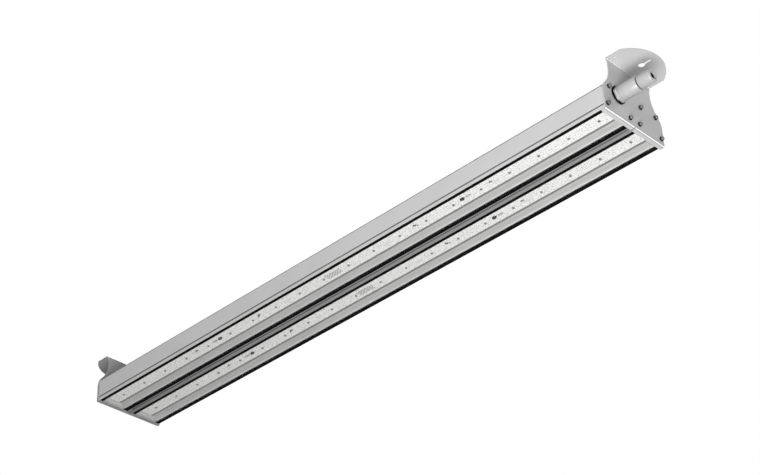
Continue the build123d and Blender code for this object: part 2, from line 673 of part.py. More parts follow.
def mains_leads():
    """Leads from the terminal block to the front driver, and through the bridge tube to the rear one."""
    front = MODULES["front"]
    rear = MODULES["rear"]
    block_start = TERMINAL_X - TERMINAL_LENGTH / 2
    entry_end = TERMINAL_X + TERMINAL_LENGTH / 2 - TERMINAL_ENTRY
    straight = [Vector(block_start, front, LEAD_Z), Vector(DRIVER_END, front, LEAD_Z)]
    across = [
        Vector(entry_end, front, LEAD_Z), Vector(BRIDGE_X, front, LEAD_Z),
        Vector(BRIDGE_X, rear, LEAD_Z), Vector(DRIVER_END, rear, LEAD_Z),
    ]
    return {"front_mains_lead": lead(straight), "rear_mains_lead": lead(across)}


def bridge_tube():
    """Flanged tube between the two modules, for the rear module's lead."""
    inner = MODULE_SPACING / 2 - HALF_WIDTH
    reach = inner + WALL + BRIDGE_REACH
    radius = BRIDGE_R - SLIP
    outline = [
        (-reach, BRIDGE_R - BRIDGE_WALL), (-reach, radius), (-inner, radius),
        (-inner, BRIDGE_FLANGE_R), (BRIDGE_FLANGE - inner, BRIDGE_FLANGE_R), (BRIDGE_FLANGE - inner, radius),
    ]
    outline += [(-x, r) for x, r in reversed(outline)]
    return Pos(BRIDGE_X, 0, LEAD_Z) * Rot(0, 0, 90) * lathe_x(outline)


# Assembly

def module_parts(name, centre):
    """All pieces of one module, moved to its centre line."""
    side = 1 if centre < 0 else -1
    pieces = {
        "housing": housing(side),
        "cover_glass": glass_pane(),
        "left_glass_seal": seal(-1),
        "right_glass_seal": seal(1),
        "led_chips": led_chips(),
        "board_screws": board_screws(),
        "board_links": board_links(),
        "driver_tray": driver_tray(),
        "driver": driver(),
        "driver_screws": driver_screws(),
        "web_grommet": web_grommet(),
        "board_lead": board_lead(),
        "feed_end_gasket": end_gasket(),
        "blank_end_gasket": Pos(-2 * MODULE_END - END_GASKET, 0, 0) * end_gasket(),
    }
    for k, x in enumerate(BOARD_CENTRES, start=1):
        pieces[f"led_board_{k}"] = led_board(x)
    return {f"{name}_{key}": Pos(0, centre, 0) * piece for key, piece in pieces.items()}


def build():
    parts = {}
    for name, centre in MODULES.items():
        parts.update(module_parts(name, centre))
    feed = Pos(PLATE_X, 0, 0)
    blank = Pos(-PLATE_X, 0, 0) * Rot(0, 0, 180)
    parts["feed_end_plate"] = feed * end_plate(True)
    parts["blank_end_plate"] = blank * end_plate(False)
    for name, place, with_gland in (("feed", feed, True), ("blank", blank, False)):
        screws = at_holes(plate_screw(), with_gland)
        washers = at_holes(plate_washer(), with_gland)
        parts[f"{name}_plate_screws"] = group(place * screw for screw in screws)
        parts[f"{name}_plate_washers"] = group(place * washer for washer in washers)
    gland = feed * Pos(0, GLAND_Y, GLAND_Z)
    parts["gland_sealing_ring"] = gland * gland_ring()
    parts["gland_body"] = gland * gland_body()
    parts["gland_insert"] = gland * gland_insert()
    parts["gland_cap_nut"] = gland * gland_cap()
    parts["gland_lock_nut"] = gland * gland_nut()
    parts["terminal_block"] = Pos(0, MODULES["front"], 0) * terminal_block()
    parts["bridge_tube"] = bridge_tube()
    parts.update(mains_leads())
    return parts


def export(parts):
    os.makedirs("parts", exist_ok=True)
    for name, shape in parts.items():
        export_step(Pos(-ORIGIN_X, 0, 0) * shape, f"parts/{name}.step")


if __name__ == "__main__":
    export(build())
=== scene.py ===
import json
from contextlib import contextmanager
from math import cos, pi, radians, sin

import bmesh
import bpy
from mathutils import Matrix, Vector


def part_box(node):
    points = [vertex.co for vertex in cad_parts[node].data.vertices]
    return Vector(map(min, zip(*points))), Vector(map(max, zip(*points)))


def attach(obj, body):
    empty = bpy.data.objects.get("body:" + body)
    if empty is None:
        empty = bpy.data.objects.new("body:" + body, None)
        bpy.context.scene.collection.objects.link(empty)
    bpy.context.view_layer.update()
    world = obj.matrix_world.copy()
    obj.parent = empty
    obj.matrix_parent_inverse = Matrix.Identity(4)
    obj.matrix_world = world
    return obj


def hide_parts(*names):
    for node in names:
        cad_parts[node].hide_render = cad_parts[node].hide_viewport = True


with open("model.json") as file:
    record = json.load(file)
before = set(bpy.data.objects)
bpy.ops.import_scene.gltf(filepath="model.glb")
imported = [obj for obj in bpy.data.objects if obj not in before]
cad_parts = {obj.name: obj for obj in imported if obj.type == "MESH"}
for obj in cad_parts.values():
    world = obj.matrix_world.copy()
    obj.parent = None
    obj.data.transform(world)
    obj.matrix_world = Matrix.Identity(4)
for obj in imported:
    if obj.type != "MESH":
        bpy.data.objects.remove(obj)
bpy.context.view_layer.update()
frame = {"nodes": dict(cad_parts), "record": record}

MM = 0.001
Z = Vector((0, 0, 1))

# Distance within which vertices merge, distance within which two places are one, and the share of an axis
# that a face's normal has when it looks along the axis, and when it looks across it
MERGE = 0.001 * MM
NEAR = 0.01 * MM
ALONG_AXIS = 0.9
ACROSS_AXIS = 0.1

# Edges below this many degrees are smoothed, and below the second on pieces with a round edge of few steps
SMOOTH_DEGREES = 32
ROUND_DEGREES = 40

# Camera, set where the photograph was taken from
CAMERA_PLACE = Vector((2.1027, -2.1491, -1.9029))
CAMERA_HEADING = 2.32714
CAMERA_RISE = 0.591063
CAMERA_ROLL = -0.041056
LENS_MM = 84.97
SENSOR_MM = 36.0
SIGHT_END = 100.0

# Hall floor under the hanging luminaire
FLOOR_Z = -7.0
FLOOR_SIZE = 60.0
FLOOR_GLOW = 0.58

# Even light from all round, the point that the lamps face, and each lamp's place, size in metres and watts
WORLD_LIGHT = 0.20
LAMP_TARGET = Vector((0.1, 0, 0.06))
LAMPS = {
    "key": ((1.35, -1.25, -1.7), 1.0, 64.0),
    "front_fill": ((1.2, -2.6, 0.3), 1.0, 15.0),
    "end_fill": ((2.3, 1.2, 1.1), 0.7, 5.0),
    "top_fill": ((-1.5, 0.6, 2.2), 1.5, 60.0),
    "blank_fill": ((-2.5, 0.5, 0.8), 0.9, 18.0),
}

MODULES = ("front", "rear")

# LED package
WINDOW_MARGIN = 0.42 * MM
WINDOW_DEPTH = 0.10 * MM
WINDOW_CORNER = 0.45 * MM
WINDOW_RIM = 0.12 * MM
SOLDER_LENGTH = 0.45 * MM
SOLDER_WIDTH = 1.9 * MM
SOLDER_HEIGHT = 0.28 * MM
SOLDER_TAPER = (0.35, 0.8, 1)

# Small pan-head screws on the boards
PAN_SIDES = 28
PAN_EDGE = 0.8 * MM
CROSS_WIDTH = 0.7 * MM
CROSS_LENGTH = 3.0 * MM
CROSS_DEPTH = 0.9 * MM
CROSS_TAPER = (0.45, 0.8, 1)
SHANK_RADIUS = 1.45 * MM
SHANK_TIP = 0.4 * MM
SHANK_TAPER = 0.6

# Socket screws on the end plates, with their sealing washers
HEAD_RADIUS = 3.5 * MM
HEAD_HEIGHT = 4.0 * MM
HEAD_EDGE = 0.4 * MM
KNURL_SIDES = 52
KNURL_DEPTH = 0.14 * MM
KNURL_MARGIN = 0.08 * MM
SOCKET_ACROSS = 3.0 * MM
SOCKET_DEPTH = 2.0 * MM
STEM_RADIUS = 1.95 * MM
STEM_TIP = 0.8 * MM
STEM_TAPER = 0.7
WASHER_SIDES = 40
WASHER_RADIUS = 4.6 * MM
WASHER_BORE = 2.05 * MM
WASHER_HEIGHT = 1.6 * MM
WASHER_ROUND = 0.2 * MM

# Cable gland, measured outwards from the plate
GLAND_SIDES = 96
RING_THICK = 3.0 * MM
COLLAR_THICK = 5.0 * MM
COLLAR_ACROSS = 30.0 * MM
COLLAR_ROUND = 33.4 * MM
COLLAR_CHAMFER = 2.2 * MM
COLLAR_LAP = 1.0 * MM
COLLAR_ARRIS = 0.25 * MM
BODY_RADIUS = 15.4 * MM
BODY_END = 48.0 * MM
NECK_RADIUS = 11.8 * MM
NECK_END = 62.0 * MM
THREAD_RADIUS = 9.95 * MM
THREAD_TAIL = 11.0 * MM
THREAD_ARRIS = 0.5 * MM
THREAD_START = 0.3 * MM
THREAD_PITCH = 1.5 * MM
THREAD_DEPTH = 0.45 * MM
BORE_RADIUS = 8.2 * MM
SEAT_RADIUS = 9.6 * MM
SEAT_START = 38.0 * MM
SEAT_CONE = 2.0 * MM
CAP_RADIUS = 13.5 * MM
CAP_START = 49.5 * MM
CAP_END = 77.5 * MM
CAP_MOUTH = 7.6 * MM
CAP_MOUTH_ARRIS = 0.5 * MM
CAP_ROUND = 2.6 * MM
CAP_ROUND_STEPS = 8
CAP_GAP = 0.6 * MM
INSERT_RADIUS = 7.5 * MM
INSERT_SET_BACK = 0.8 * MM
INSERT_ARRIS = 0.5 * MM
CABLE_RADIUS = 5.2 * MM
CABLE_CHAMFER = 0.9 * MM
CABLE_SKIN = 0.1 * MM
SLIP = 0.1 * MM

# Turned edges of the gland in millimetres: how far along from the edge, and how far in from the outside
BODY_FOOT = ((0.8, 0.6), (1.4, 0.15), (2.0, 0))
BODY_RIM = ((1.2, 0), (0.4, 0.35), (0, 1.1))
CAP_FOOT = ((0, 0.8), (0.3, 0.25), (0.9, 0))

# Plug-in connectors between the boards
SHROUD_WALL = 0.5 * MM
SHROUD_DEPTH = 1.2 * MM
CONNECTOR_ARRIS = 0.25 * MM
CONTACT_SIZE = Vector((2.0, 1.1, 0.5)) * MM
CONTACT_REACH = 0.3 * MM
CONTACT_APART = 3.8 * MM
CONTACT_ARRIS = 0.12 * MM

# Suppressors, inlet sockets, chips and resistors on the boards, by their distance along X from the frame's
# origin. The first three stand on both halves of a module, mirrored about the boards' middle.
BOARD_MIDDLE = -7.0 * MM
FITTING_SHIFT = -3.0 * MM
SUPPRESSOR_X = 0.3350
SUPPRESSOR_SIDES = 32
SUPPRESSOR_LENGTH = 10.5 * MM
SUPPRESSOR_WIDTH = 6.2 * MM
SUPPRESSOR_HEIGHT = 3.2 * MM
SUPPRESSOR_ROUND = 0.7 * MM
SOCKET_X = 0.3505
SOCKET_LENGTH = 12.0 * MM
SOCKET_WIDTH = 4.0 * MM
SOCKET_HEIGHT = 2.0 * MM
SOCKET_WALL = 0.6 * MM
SOCKET_POCKET = 2.5 * MM
SOCKET_ARRIS = 0.3 * MM
CHIP_GROUPS = (0.4075, 0.2135)
CHIP_SIZE = (3.0 * MM, 2.2 * MM, 0.9 * MM)
CHIP_SPOTS = ((-3.2, -4.6), (-0.6, -6.4), (-0.4, -2.6), (2.2, -4.2), (4.6, -1.0))
CHIP_ARRIS = 0.1 * MM
RESISTOR_X = -0.0125
RESISTOR_SIZE = (2.3 * MM, 1.3 * MM, 0.6 * MM)
RESISTOR_SPAN = 40.0 * MM
RESISTOR_ROWS = 5
RESISTOR_ROW_STEP = 3
RESISTOR_PITCH = 2.9 * MM
RESISTOR_COUNT = 46
RESISTOR_TURNED_EVERY = 4

# Groove along each side of an extrusion, whose faces take painted shade, and how deep a face may lie and
# still be the side's flat wall
GROOVE_LOW = 10.5 * MM
GROOVE_HIGH = 14.1 * MM
GROOVE_DEPTH = 2.0 * MM
WALL_SKIN = 0.1 * MM

# Lip that the front seal of each extrusion wraps
LIP_BOTTOM = 3.1 * MM
LIP_THICK = 1.4 * MM

# Rounded shoulder at the top of each side, painted with the same dark shade as the grooves
SHOULDER_LOW = 52.2 * MM
SHOULDER_INSET = 2.2 * MM

# Channel under the boards, between the ledges of an extrusion, less the faces that look along X by its end,
# painted in shade
CHANNEL_LOW = 6.5 * MM
CHANNEL_HIGH = 20.0 * MM
CHANNEL_INSET = 10.0 * MM
CHANNEL_END = 0.5

# Panes, the dark strips of painted shade along the boards and the seals' flaps
PANE_PLAY = 0.02 * MM
PANE_ARRIS = 0.3 * MM
STRIP_LAP = 1.8 * MM
STRIP_WIDTH = 5.0 * MM
STRIP_LIP = 0.15 * MM
STRIP_ARRIS = 0.1 * MM
APRON_WIDTH = 1.7 * MM
APRON_TOP = 7.0 * MM
APRON_HEIGHT = 0.3 * MM
APRON_ARRIS = 0.08 * MM

# Folds of the end plates: how far their faces lean from the plate towards the tab, the part of that lean
# that takes a painted highlight (the rest takes a painted shadow), and how far they may look sideways
FOLD_LEAN = (0.05, 0.995)
FOLD_HIGHLIGHT = (0.30, 0.92)
FOLD_SIDEWAYS = 0.05


# Modelling helpers

def select_only(*objects):
    """Only these objects are selected, and the last one is active."""
    bpy.ops.object.select_all(action="DESELECT")
    for obj in objects:
        obj.select_set(True)
    bpy.context.view_layer.objects.active = objects[-1]


@contextmanager
def editing(obj):
    select_only(obj)
    bpy.ops.object.mode_set(mode="EDIT")
    yield
    bpy.ops.object.mode_set(mode="OBJECT")


def pick_faces(obj, test):
    """In edit mode, select the faces whose middle and normal pass the test."""
    bpy.ops.mesh.select_mode(type="FACE")
    bpy.ops.mesh.select_all(action="DESELECT")
    mesh = bmesh.from_edit_mesh(obj.data)
    mesh.normal_update()
    for face in mesh.faces:
        face.select_set(test(face.calc_center_median(), face.normal))
    bmesh.update_edit_mesh(obj.data)


def pick_edges(obj, test):
    """In edit mode, select the edges whose two ends pass the test."""
    bpy.ops.mesh.select_mode(type="EDGE")
    bpy.ops.mesh.select_all(action="DESELECT")
    mesh = bmesh.from_edit_mesh(obj.data)
    for edge in mesh.edges:
        edge.select_set(test(edge.verts[0].co, edge.verts[1].co))
    bmesh.update_edit_mesh(obj.data)


def grow(amount):
    """Extrude the picked faces straight along their normals."""
    bpy.ops.mesh.extrude_region_shrink_fatten(TRANSFORM_OT_shrink_fatten={"value": amount})


def apply_modifier(obj, kind, **settings):
    select_only(obj)
    modifier = obj.modifiers.new(kind.title(), kind)
    for key, value in settings.items():
        setattr(modifier, key, value)
    bpy.ops.object.modifier_apply(modifier=modifier.name)


def soften(obj, degrees=SMOOTH_DEGREES):
    select_only(obj)
    bpy.ops.object.shade_smooth_by_angle(angle=radians(degrees))


def cube(name, size, centre=(0, 0, 0)):
    bpy.ops.object.select_all(action="DESELECT")
    bpy.ops.mesh.primitive_cube_add(size=1, location=centre)
    obj = bpy.context.object
    obj.name = name
    obj.scale = size
    bpy.ops.object.transform_apply(location=True, rotation=True, scale=True)
    return obj


def cylinder(name, radius, low, high, sides):
    """Upright cylinder between two heights."""
    bpy.ops.object.select_all(action="DESELECT")
    centre = (0, 0, (low + high) / 2)
    bpy.ops.mesh.primitive_cylinder_add(vertices=sides, radius=radius, depth=high - low, location=centre)
    obj = bpy.context.object
    obj.name = name
    bpy.ops.object.transform_apply(location=True, rotation=True, scale=True)
    return obj


def turned(name, stations, sides):
    """Ring turned about Z through (z, radius) stations that end where they start."""
    first_z, first_radius = stations[0]
    bpy.ops.object.select_all(action="DESELECT")
    bpy.ops.mesh.primitive_circle_add(vertices=sides, radius=first_radius, location=(0, 0, first_z))
    obj = bpy.context.object
    obj.name = name
    bpy.ops.object.transform_apply(location=True, rotation=True, scale=True)
    with editing(obj):
        bpy.ops.mesh.select_mode(type="VERT")
        bpy.ops.mesh.select_all(action="SELECT")
        for (z0, r0), (z1, r1) in zip(stations, stations[1:]):
            bpy.ops.mesh.extrude_region_move(TRANSFORM_OT_translate={"value": (0, 0, z1 - z0)})
            bpy.ops.transform.resize(value=(r1 / r0, r1 / r0, 1), center_override=(0, 0, 0))
        bpy.ops.mesh.select_all(action="SELECT")
        bpy.ops.mesh.remove_doubles(threshold=MERGE)
        bpy.ops.mesh.normals_make_consistent(inside=False)
    return obj


def cut_away(obj, tool):
    """Cut a tool out of a piece, and remove the tool."""
    apply_modifier(obj, "BOOLEAN", operation="DIFFERENCE", solver="EXACT", object=tool)
    bpy.data.objects.remove(tool)


def joined(name, *pieces):
    select_only(*pieces)
    if len(pieces) > 1:
        bpy.ops.object.join()
    whole = bpy.context.object
    whole.name = name
    return whole


def copies(model, name, places):
    """One object made of a copy of the model at each place, each with its own mesh."""
    twins = []
    for place in places:
        twin = model.copy()
        twin.data = model.data.copy()
        twin.data.transform(place)
        bpy.context.collection.objects.link(twin)
        twins.append(twin)
    bpy.data.objects.remove(model)
    return joined(name, *twins)


def solids_of(node):
    """Lowest and highest corner of each separate solid in a CAD node, in order along it."""
    mesh = bmesh.new()
    mesh.from_mesh(frame["nodes"][node].data)
    bmesh.ops.remove_doubles(mesh, verts=mesh.verts, dist=MERGE)
    left = set(mesh.verts)
    corners = []
    while left:
        solid = [left.pop()]
        for vertex in solid:
            near = {edge.other_vert(vertex) for edge in vertex.link_edges} & left
            left -= near
            solid.extend(near)
        low = tuple(min(v.co[k] for v in solid) for k in range(3))
        high = tuple(max(v.co[k] for v in solid) for k in range(3))
        corners.append((low, high))
    mesh.free()
    return [(Vector(low), Vector(high)) for low, high in sorted(corners)]


def centre_of(node):
    low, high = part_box(node)
    return (low + high) / 2


def fitted(piece, slot, *nodes):
    """Attach a finished piece to the root and hide the CAD nodes that it stands for, if any; slot is not
    used.
    """
    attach(piece, "root")
    if nodes:
        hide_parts(*nodes)


def paint(obj, *finishes):
    obj.data.materials.clear()
    for finish in finishes:
        obj.data.materials.append(finish)


# Shader node groups

def node_group(name, inputs, outputs):
    """Empty group with its sockets made: inputs and outputs map a name to a socket type and default."""
    group = bpy.data.node_groups.new(name, "ShaderNodeTree")
    for socket, (kind, default) in inputs.items():
        made = group.interface.new_socket(name=socket, in_out="INPUT", socket_type=kind)
        made.default_value = default
    for socket, kind in outputs.items():
        group.interface.new_socket(name=socket, in_out="OUTPUT", socket_type=kind)
    return group, group.nodes.new("NodeGroupInput"), group.nodes.new("NodeGroupOutput")


def drawn_lines_group():
    """Fine lines left by a die or a brush, stretched along one axis."""
    inputs = {
        "Coordinates": ("NodeSocketVector", (0, 0, 0)),
        "Stretch": ("NodeSocketVector", (1, 1, 1)),
        "Contrast": ("NodeSocketFloat", 1.0),
    }
    group, source, sink = node_group("drawn_lines", inputs, {"Value": "NodeSocketFloat"})
    link = group.links.new
    scale = group.nodes.new("ShaderNodeVectorMath")
    scale.operation = "MULTIPLY"
    noise = group.nodes.new("ShaderNodeTexNoise")
    noise.inputs["Scale"].default_value = 1.0
    noise.inputs["Detail"].default_value = 4.0
    spread = group.nodes.new("ShaderNodeMath")
    spread.operation = "MULTIPLY_ADD"
    half = group.nodes.new("ShaderNodeMath")
    half.operation = "MULTIPLY_ADD"
    half.inputs[1].default_value = -0.5
    half.inputs[2].default_value = 0.5
    link(source.outputs["Coordinates"], scale.inputs[0])
    link(source.outputs["Stretch"], scale.inputs[1])
    link(scale.outputs["Vector"], noise.inputs["Vector"])
    link(source.outputs["Contrast"], half.inputs[0])
    link(noise.outputs["Fac"], spread.inputs[0])
    link(source.outputs["Contrast"], spread.inputs[1])
    link(half.outputs["Value"], spread.inputs[2])
    spread.use_clamp = True
    link(spread.outputs["Value"], sink.inputs["Value"])
    return group


def mottle_group():
    """Soft cloudy patches, for the uneven tone of a real surface."""
    inputs = {
        "Coordinates": ("NodeSocketVector", (0, 0, 0)),
        "Density": ("NodeSocketFloat", 40.0),
        "Low": ("NodeSocketFloat", 0.35),
        "High": ("NodeSocketFloat", 0.65),
    }
    group, source, sink = node_group("mottle", inputs, {"Value": "NodeSocketFloat"})
    link = group.links.new
    noise = group.nodes.new("ShaderNodeTexNoise")
    noise.inputs["Detail"].default_value = 6.0
    noise.inputs["Roughness"].default_value = 0.6
    spread = group.nodes.new("ShaderNodeMapRange")
    link(source.outputs["Coordinates"], noise.inputs["Vector"])
    link(source.outputs["Density"], noise.inputs["Scale"])
    link(noise.outputs["Fac"], spread.inputs["Value"])
    link(source.outputs["Low"], spread.inputs["From Min"])
    link(source.outputs["High"], spread.inputs["From Max"])
    link(spread.outputs["Result"], sink.inputs["Value"])
    return group


DRAWN_LINES = drawn_lines_group()
MOTTLE = mottle_group()


# Finishes

# Share of the clouds, against the drawn lines, in the colour and gloss of a finish
CLOUD_SHARE = 0.4


def finish(name, dark, light, rough, metallic=0.0, stretch=(1, 1, 1), contrast=1.0, density=40.0,
           relief=0.02, depth=0.05, specular=0.5):
    """Material whose colour, gloss and relief vary with drawn lines and mottle.

    dark and light are grey or (r, g, b) tones, rough is a (smooth, rough) pair and depth is in millimetres.
    """
    material = bpy.data.materials.new(name)
    material.use_nodes = True
    tree = material.node_tree
    link = tree.links.new
    shader = tree.nodes["Principled BSDF"]
    shader.inputs["Metallic"].default_value = metallic
    shader.inputs["Specular IOR Level"].default_value = specular
    place = tree.nodes.new("ShaderNodeTexCoord")
    lines = tree.nodes.new("ShaderNodeGroup")
    lines.node_tree = DRAWN_LINES
    lines.inputs["Stretch"].default_value = stretch
    lines.inputs["Contrast"].default_value = contrast
    clouds = tree.nodes.new("ShaderNodeGroup")
    clouds.node_tree = MOTTLE
    clouds.inputs["Density"].default_value = density
    both = tree.nodes.new("ShaderNodeMix")
    both.inputs["Factor"].default_value = CLOUD_SHARE
    tone = tree.nodes.new("ShaderNodeMix")
    tone.data_type = "RGBA"
    tone.inputs["A"].default_value = colour(dark)
    tone.inputs["B"].default_value = colour(light)
    gloss = tree.nodes.new("ShaderNodeMapRange")
    gloss.inputs["To Min"].default_value = rough[0]
    gloss.inputs["To Max"].default_value = rough[1]
    bump = tree.nodes.new("ShaderNodeBump")
    bump.inputs["Strength"].default_value = relief
    bump.inputs["Distance"].default_value = depth * MM
    link(place.outputs["Object"], lines.inputs["Coordinates"])
    link(place.outputs["Object"], clouds.inputs["Coordinates"])
    link(lines.outputs["Value"], both.inputs[2])
    link(clouds.outputs["Value"], both.inputs[3])
    link(both.outputs[0], tone.inputs["Factor"])
    link(both.outputs[0], gloss.inputs["Value"])
    link(lines.outputs["Value"], bump.inputs["Height"])
    link(tone.outputs["Result"], shader.inputs["Base Color"])
    link(gloss.outputs["Result"], shader.inputs["Roughness"])
    link(bump.outputs["Normal"], shader.inputs["Normal"])
    return material


def colour(tone):
    grey = isinstance(tone, (int, float))
    return (tone, tone, tone, 1.0) if grey else (*tone, 1.0)


def clear_glass():
    """Clear pane coated against glare, which lets the lamps through to the boards."""
    material = bpy.data.materials.new("clear_glass")
    material.use_nodes = True
    tree = material.node_tree
    link = tree.links.new
    shader = tree.nodes["Principled BSDF"]
    shader.inputs["Transmission Weight"].default_value = 1.0
    shader.inputs["Roughness"].default_value = 0.02
    shader.inputs["IOR"].default_value = 1.3
    shader.inputs["Base Color"].default_value = (0.99, 0.99, 0.98, 1.0)
    rays = tree.nodes.new("ShaderNodeLightPath")
    either = tree.nodes.new("ShaderNodeMath")
    either.operation = "MAXIMUM"
    open_way = tree.nodes.new("ShaderNodeBsdfTransparent")
    mix = tree.nodes.new("ShaderNodeMixShader")
    link(rays.outputs["Is Shadow Ray"], either.inputs[0])
    link(rays.outputs["Is Diffuse Ray"], either.inputs[1])
    link(either.outputs["Value"], mix.inputs["Fac"])
    link(shader.outputs["BSDF"], mix.inputs[1])
    link(open_way.outputs["BSDF"], mix.inputs[2])
    link(mix.outputs["Shader"], tree.nodes["Material Output"].inputs["Surface"])
    return material


# Copper lands under the boards' solder mask, their tones and the gaps', and the marks between them
LAND_LENGTH = 20 * MM
LAND_WIDTH = 7.07 * MM
LAND_GAP = 0.35 * MM
LAND_TONES = (1.0, 0.97)
LAND_GAP_TONE = 0.86
MARKS_PER_METRE = 330.0
MARK_EDGES = (0.55, 0.66)
MARK_TONE = (0.42, 0.42, 0.40)


def board_mask():
    """White solder mask with small dark marks, over copper lands that show through as faint blocks."""
    material = finish("board_mask", 0.84, 0.88, (0.4, 0.5), contrast=0.6, density=90.0, relief=0.05,
                      specular=0.25)
    tree = material.node_tree
    link = tree.links.new
    shader = tree.nodes["Principled BSDF"]
    place = tree.nodes.new("ShaderNodeTexCoord")
    lands = tree.nodes.new("ShaderNodeTexBrick")
    lands.offset = 0.5
    lands.inputs["Scale"].default_value = 1.0
    lands.inputs["Brick Width"].default_value = LAND_LENGTH
    lands.inputs["Row Height"].default_value = LAND_WIDTH
    lands.inputs["Mortar Size"].default_value = LAND_GAP
    lands.inputs["Mortar Smooth"].default_value = 0.3
    lands.inputs["Color1"].default_value = colour(LAND_TONES[0])
    lands.inputs["Color2"].default_value = colour(LAND_TONES[1])
    lands.inputs["Mortar"].default_value = colour(LAND_GAP_TONE)
    tinted = tree.nodes.new("ShaderNodeMix")
    tinted.data_type = "RGBA"
    tinted.blend_type = "MULTIPLY"
    tinted.inputs["Factor"].default_value = 1.0
    specks = tree.nodes.new("ShaderNodeTexNoise")
    specks.inputs["Scale"].default_value = MARKS_PER_METRE
    specks.inputs["Detail"].default_value = 1.0
    cut = tree.nodes.new("ShaderNodeMapRange")
    cut.inputs["From Min"].default_value = MARK_EDGES[0]
    cut.inputs["From Max"].default_value = MARK_EDGES[1]
    marked = tree.nodes.new("ShaderNodeMix")
    marked.data_type = "RGBA"
    marked.inputs["B"].default_value = colour(MARK_TONE)
    base = shader.inputs["Base Color"].links[0].from_socket
    link(place.outputs["Object"], lands.inputs["Vector"])
    link(place.outputs["Object"], specks.inputs["Vector"])
    link(specks.outputs["Fac"], cut.inputs["Value"])
    link(cut.outputs["Result"], marked.inputs["Factor"])
    link(base, tinted.inputs["A"])
    link(lands.outputs["Color"], tinted.inputs["B"])
    link(tinted.outputs["Result"], marked.inputs["A"])
    link(marked.outputs["Result"], shader.inputs["Base Color"])
    return material


# Patterns by the way their surfaces are made: drawn through a die, brushed, folded after brushing, or even
EVEN = (700, 700, 700)
BRUSH = (900, 900, 30)
DRAWN = {"stretch": (4, 900, 900), "contrast": 0.8, "density": 12.0, "relief": 0.06}
BRUSHED = {"stretch": BRUSH, "contrast": 0.7, "density": 14.0, "relief": 0.06}
FOLDED = {"stretch": BRUSH, "contrast": 0.5, "density": 14.0, "relief": 0.03}
MOULDED = {"stretch": EVEN, "contrast": 0.8, "density": 60.0, "relief": 0.1}
TUMBLED = {"stretch": EVEN, "contrast": 1.2, "density": 200.0, "relief": 0.1}

FINISH_VALUES = {
    "anodised_extrusion": dict(DRAWN, dark=0.56, light=0.64, rough=(0.40, 0.52), metallic=0.1, specular=0.3),
    # Darker copies of the extrusion's tone, which paint shade into the channel, on the walls at the gap and
    # in the grooves and shoulders
    "channel_painted_shade": dict(DRAWN, dark=0.42, light=0.48, rough=(0.5, 0.6), specular=0.2),
    "gap_wall_painted_shade": dict(DRAWN, dark=0.38, light=0.44, rough=(0.45, 0.55), metallic=0.1, specular=0.25),
    "groove_and_shoulder_shade": dict(DRAWN, dark=0.16, light=0.22, rough=(0.6, 0.7), specular=0.2),
    "tray_sheet": dict(DRAWN, dark=0.56, light=0.66, rough=(0.3, 0.45), metallic=0.7, contrast=1.0,
                       density=30.0, relief=0.08),
    "plate_steel": dict(BRUSHED, dark=0.52, light=0.58, rough=(0.50, 0.6), metallic=0.1, specular=0.25),
    # A darker copy of the plate steel paints shade on the far plate; the fold tones paint a highlight and a
    # shadow
    "far_plate_painted_shade": dict(BRUSHED, dark=0.28, light=0.34, rough=(0.55, 0.65), metallic=0.1, specular=0.2),
    "fold_painted_highlight": dict(FOLDED, dark=0.86, light=0.92, rough=(0.30, 0.4)),
    "fold_shadow": dict(FOLDED, dark=0.12, light=0.18, rough=(0.6, 0.7), specular=0.2),
    "bright_screw": dict(TUMBLED, dark=0.14, light=0.24, rough=(0.3, 0.45), metallic=0.8),
    "plate_screw": dict(TUMBLED, dark=0.12, light=0.22, rough=(0.28, 0.4), metallic=0.9),
    "nickel_plate": dict(MOULDED, dark=0.40, light=0.46, rough=(0.30, 0.42), metallic=0.2, relief=0.04),
    "solder": dict(TUMBLED, dark=0.55, light=0.70, rough=(0.2, 0.35), metallic=0.9, contrast=1.0,
                   density=300.0, relief=0.2),
    "led_package": dict(stretch=EVEN, dark=(0.84, 0.84, 0.82), light=(0.90, 0.90, 0.88), rough=(0.25, 0.4)),
    "phosphor": dict(stretch=EVEN, dark=(0.90, 0.84, 0.58), light=(0.95, 0.90, 0.68), rough=(0.12, 0.2),
                     density=400.0),
    "connector_white": dict(stretch=EVEN, dark=0.66, light=0.72, rough=(0.4, 0.5), contrast=0.6,
                            density=120.0),
    "dark_part": dict(TUMBLED, dark=0.03, light=0.05, rough=(0.4, 0.5), contrast=1.0),
    "driver_case": dict(MOULDED, dark=0.70, light=0.76, rough=(0.4, 0.5)),
    "terminal_plastic": dict(MOULDED, dark=0.62, light=0.70, rough=(0.4, 0.55), density=80.0),
    "lead_sheath": dict(MOULDED, dark=0.5, light=0.58, rough=(0.5, 0.6), density=80.0),
    "silicone_sheet": dict(MOULDED, dark=0.46, light=0.54, rough=(0.6, 0.7)),
    # Dark grey for the strips that paint the shade beside the boards' edges
    "strip_painted_shade": dict(MOULDED, dark=0.13, light=0.18, rough=(0.6, 0.7), contrast=1.0, density=90.0,
                       specular=0.2),
    "gland_rubber": dict(MOULDED, dark=0.34, light=0.42, rough=(0.55, 0.7), contrast=1.0, density=90.0,
                         relief=0.2),
    "black_rubber": dict(MOULDED, dark=0.003, light=0.007, rough=(0.7, 0.9), contrast=1.2, relief=0.25,
                         depth=0.08, specular=0.03),
    "gasket_black": dict(MOULDED, dark=0.003, light=0.007, rough=(0.7, 0.9), contrast=1.0, density=100.0,
                         relief=0.15, specular=0.03),
}
FINISHES = {name: finish(name, **values) for name, values in FINISH_VALUES.items()}
FINISHES["board_mask"] = board_mask()
FINISHES["clear_glass"] = clear_glass()


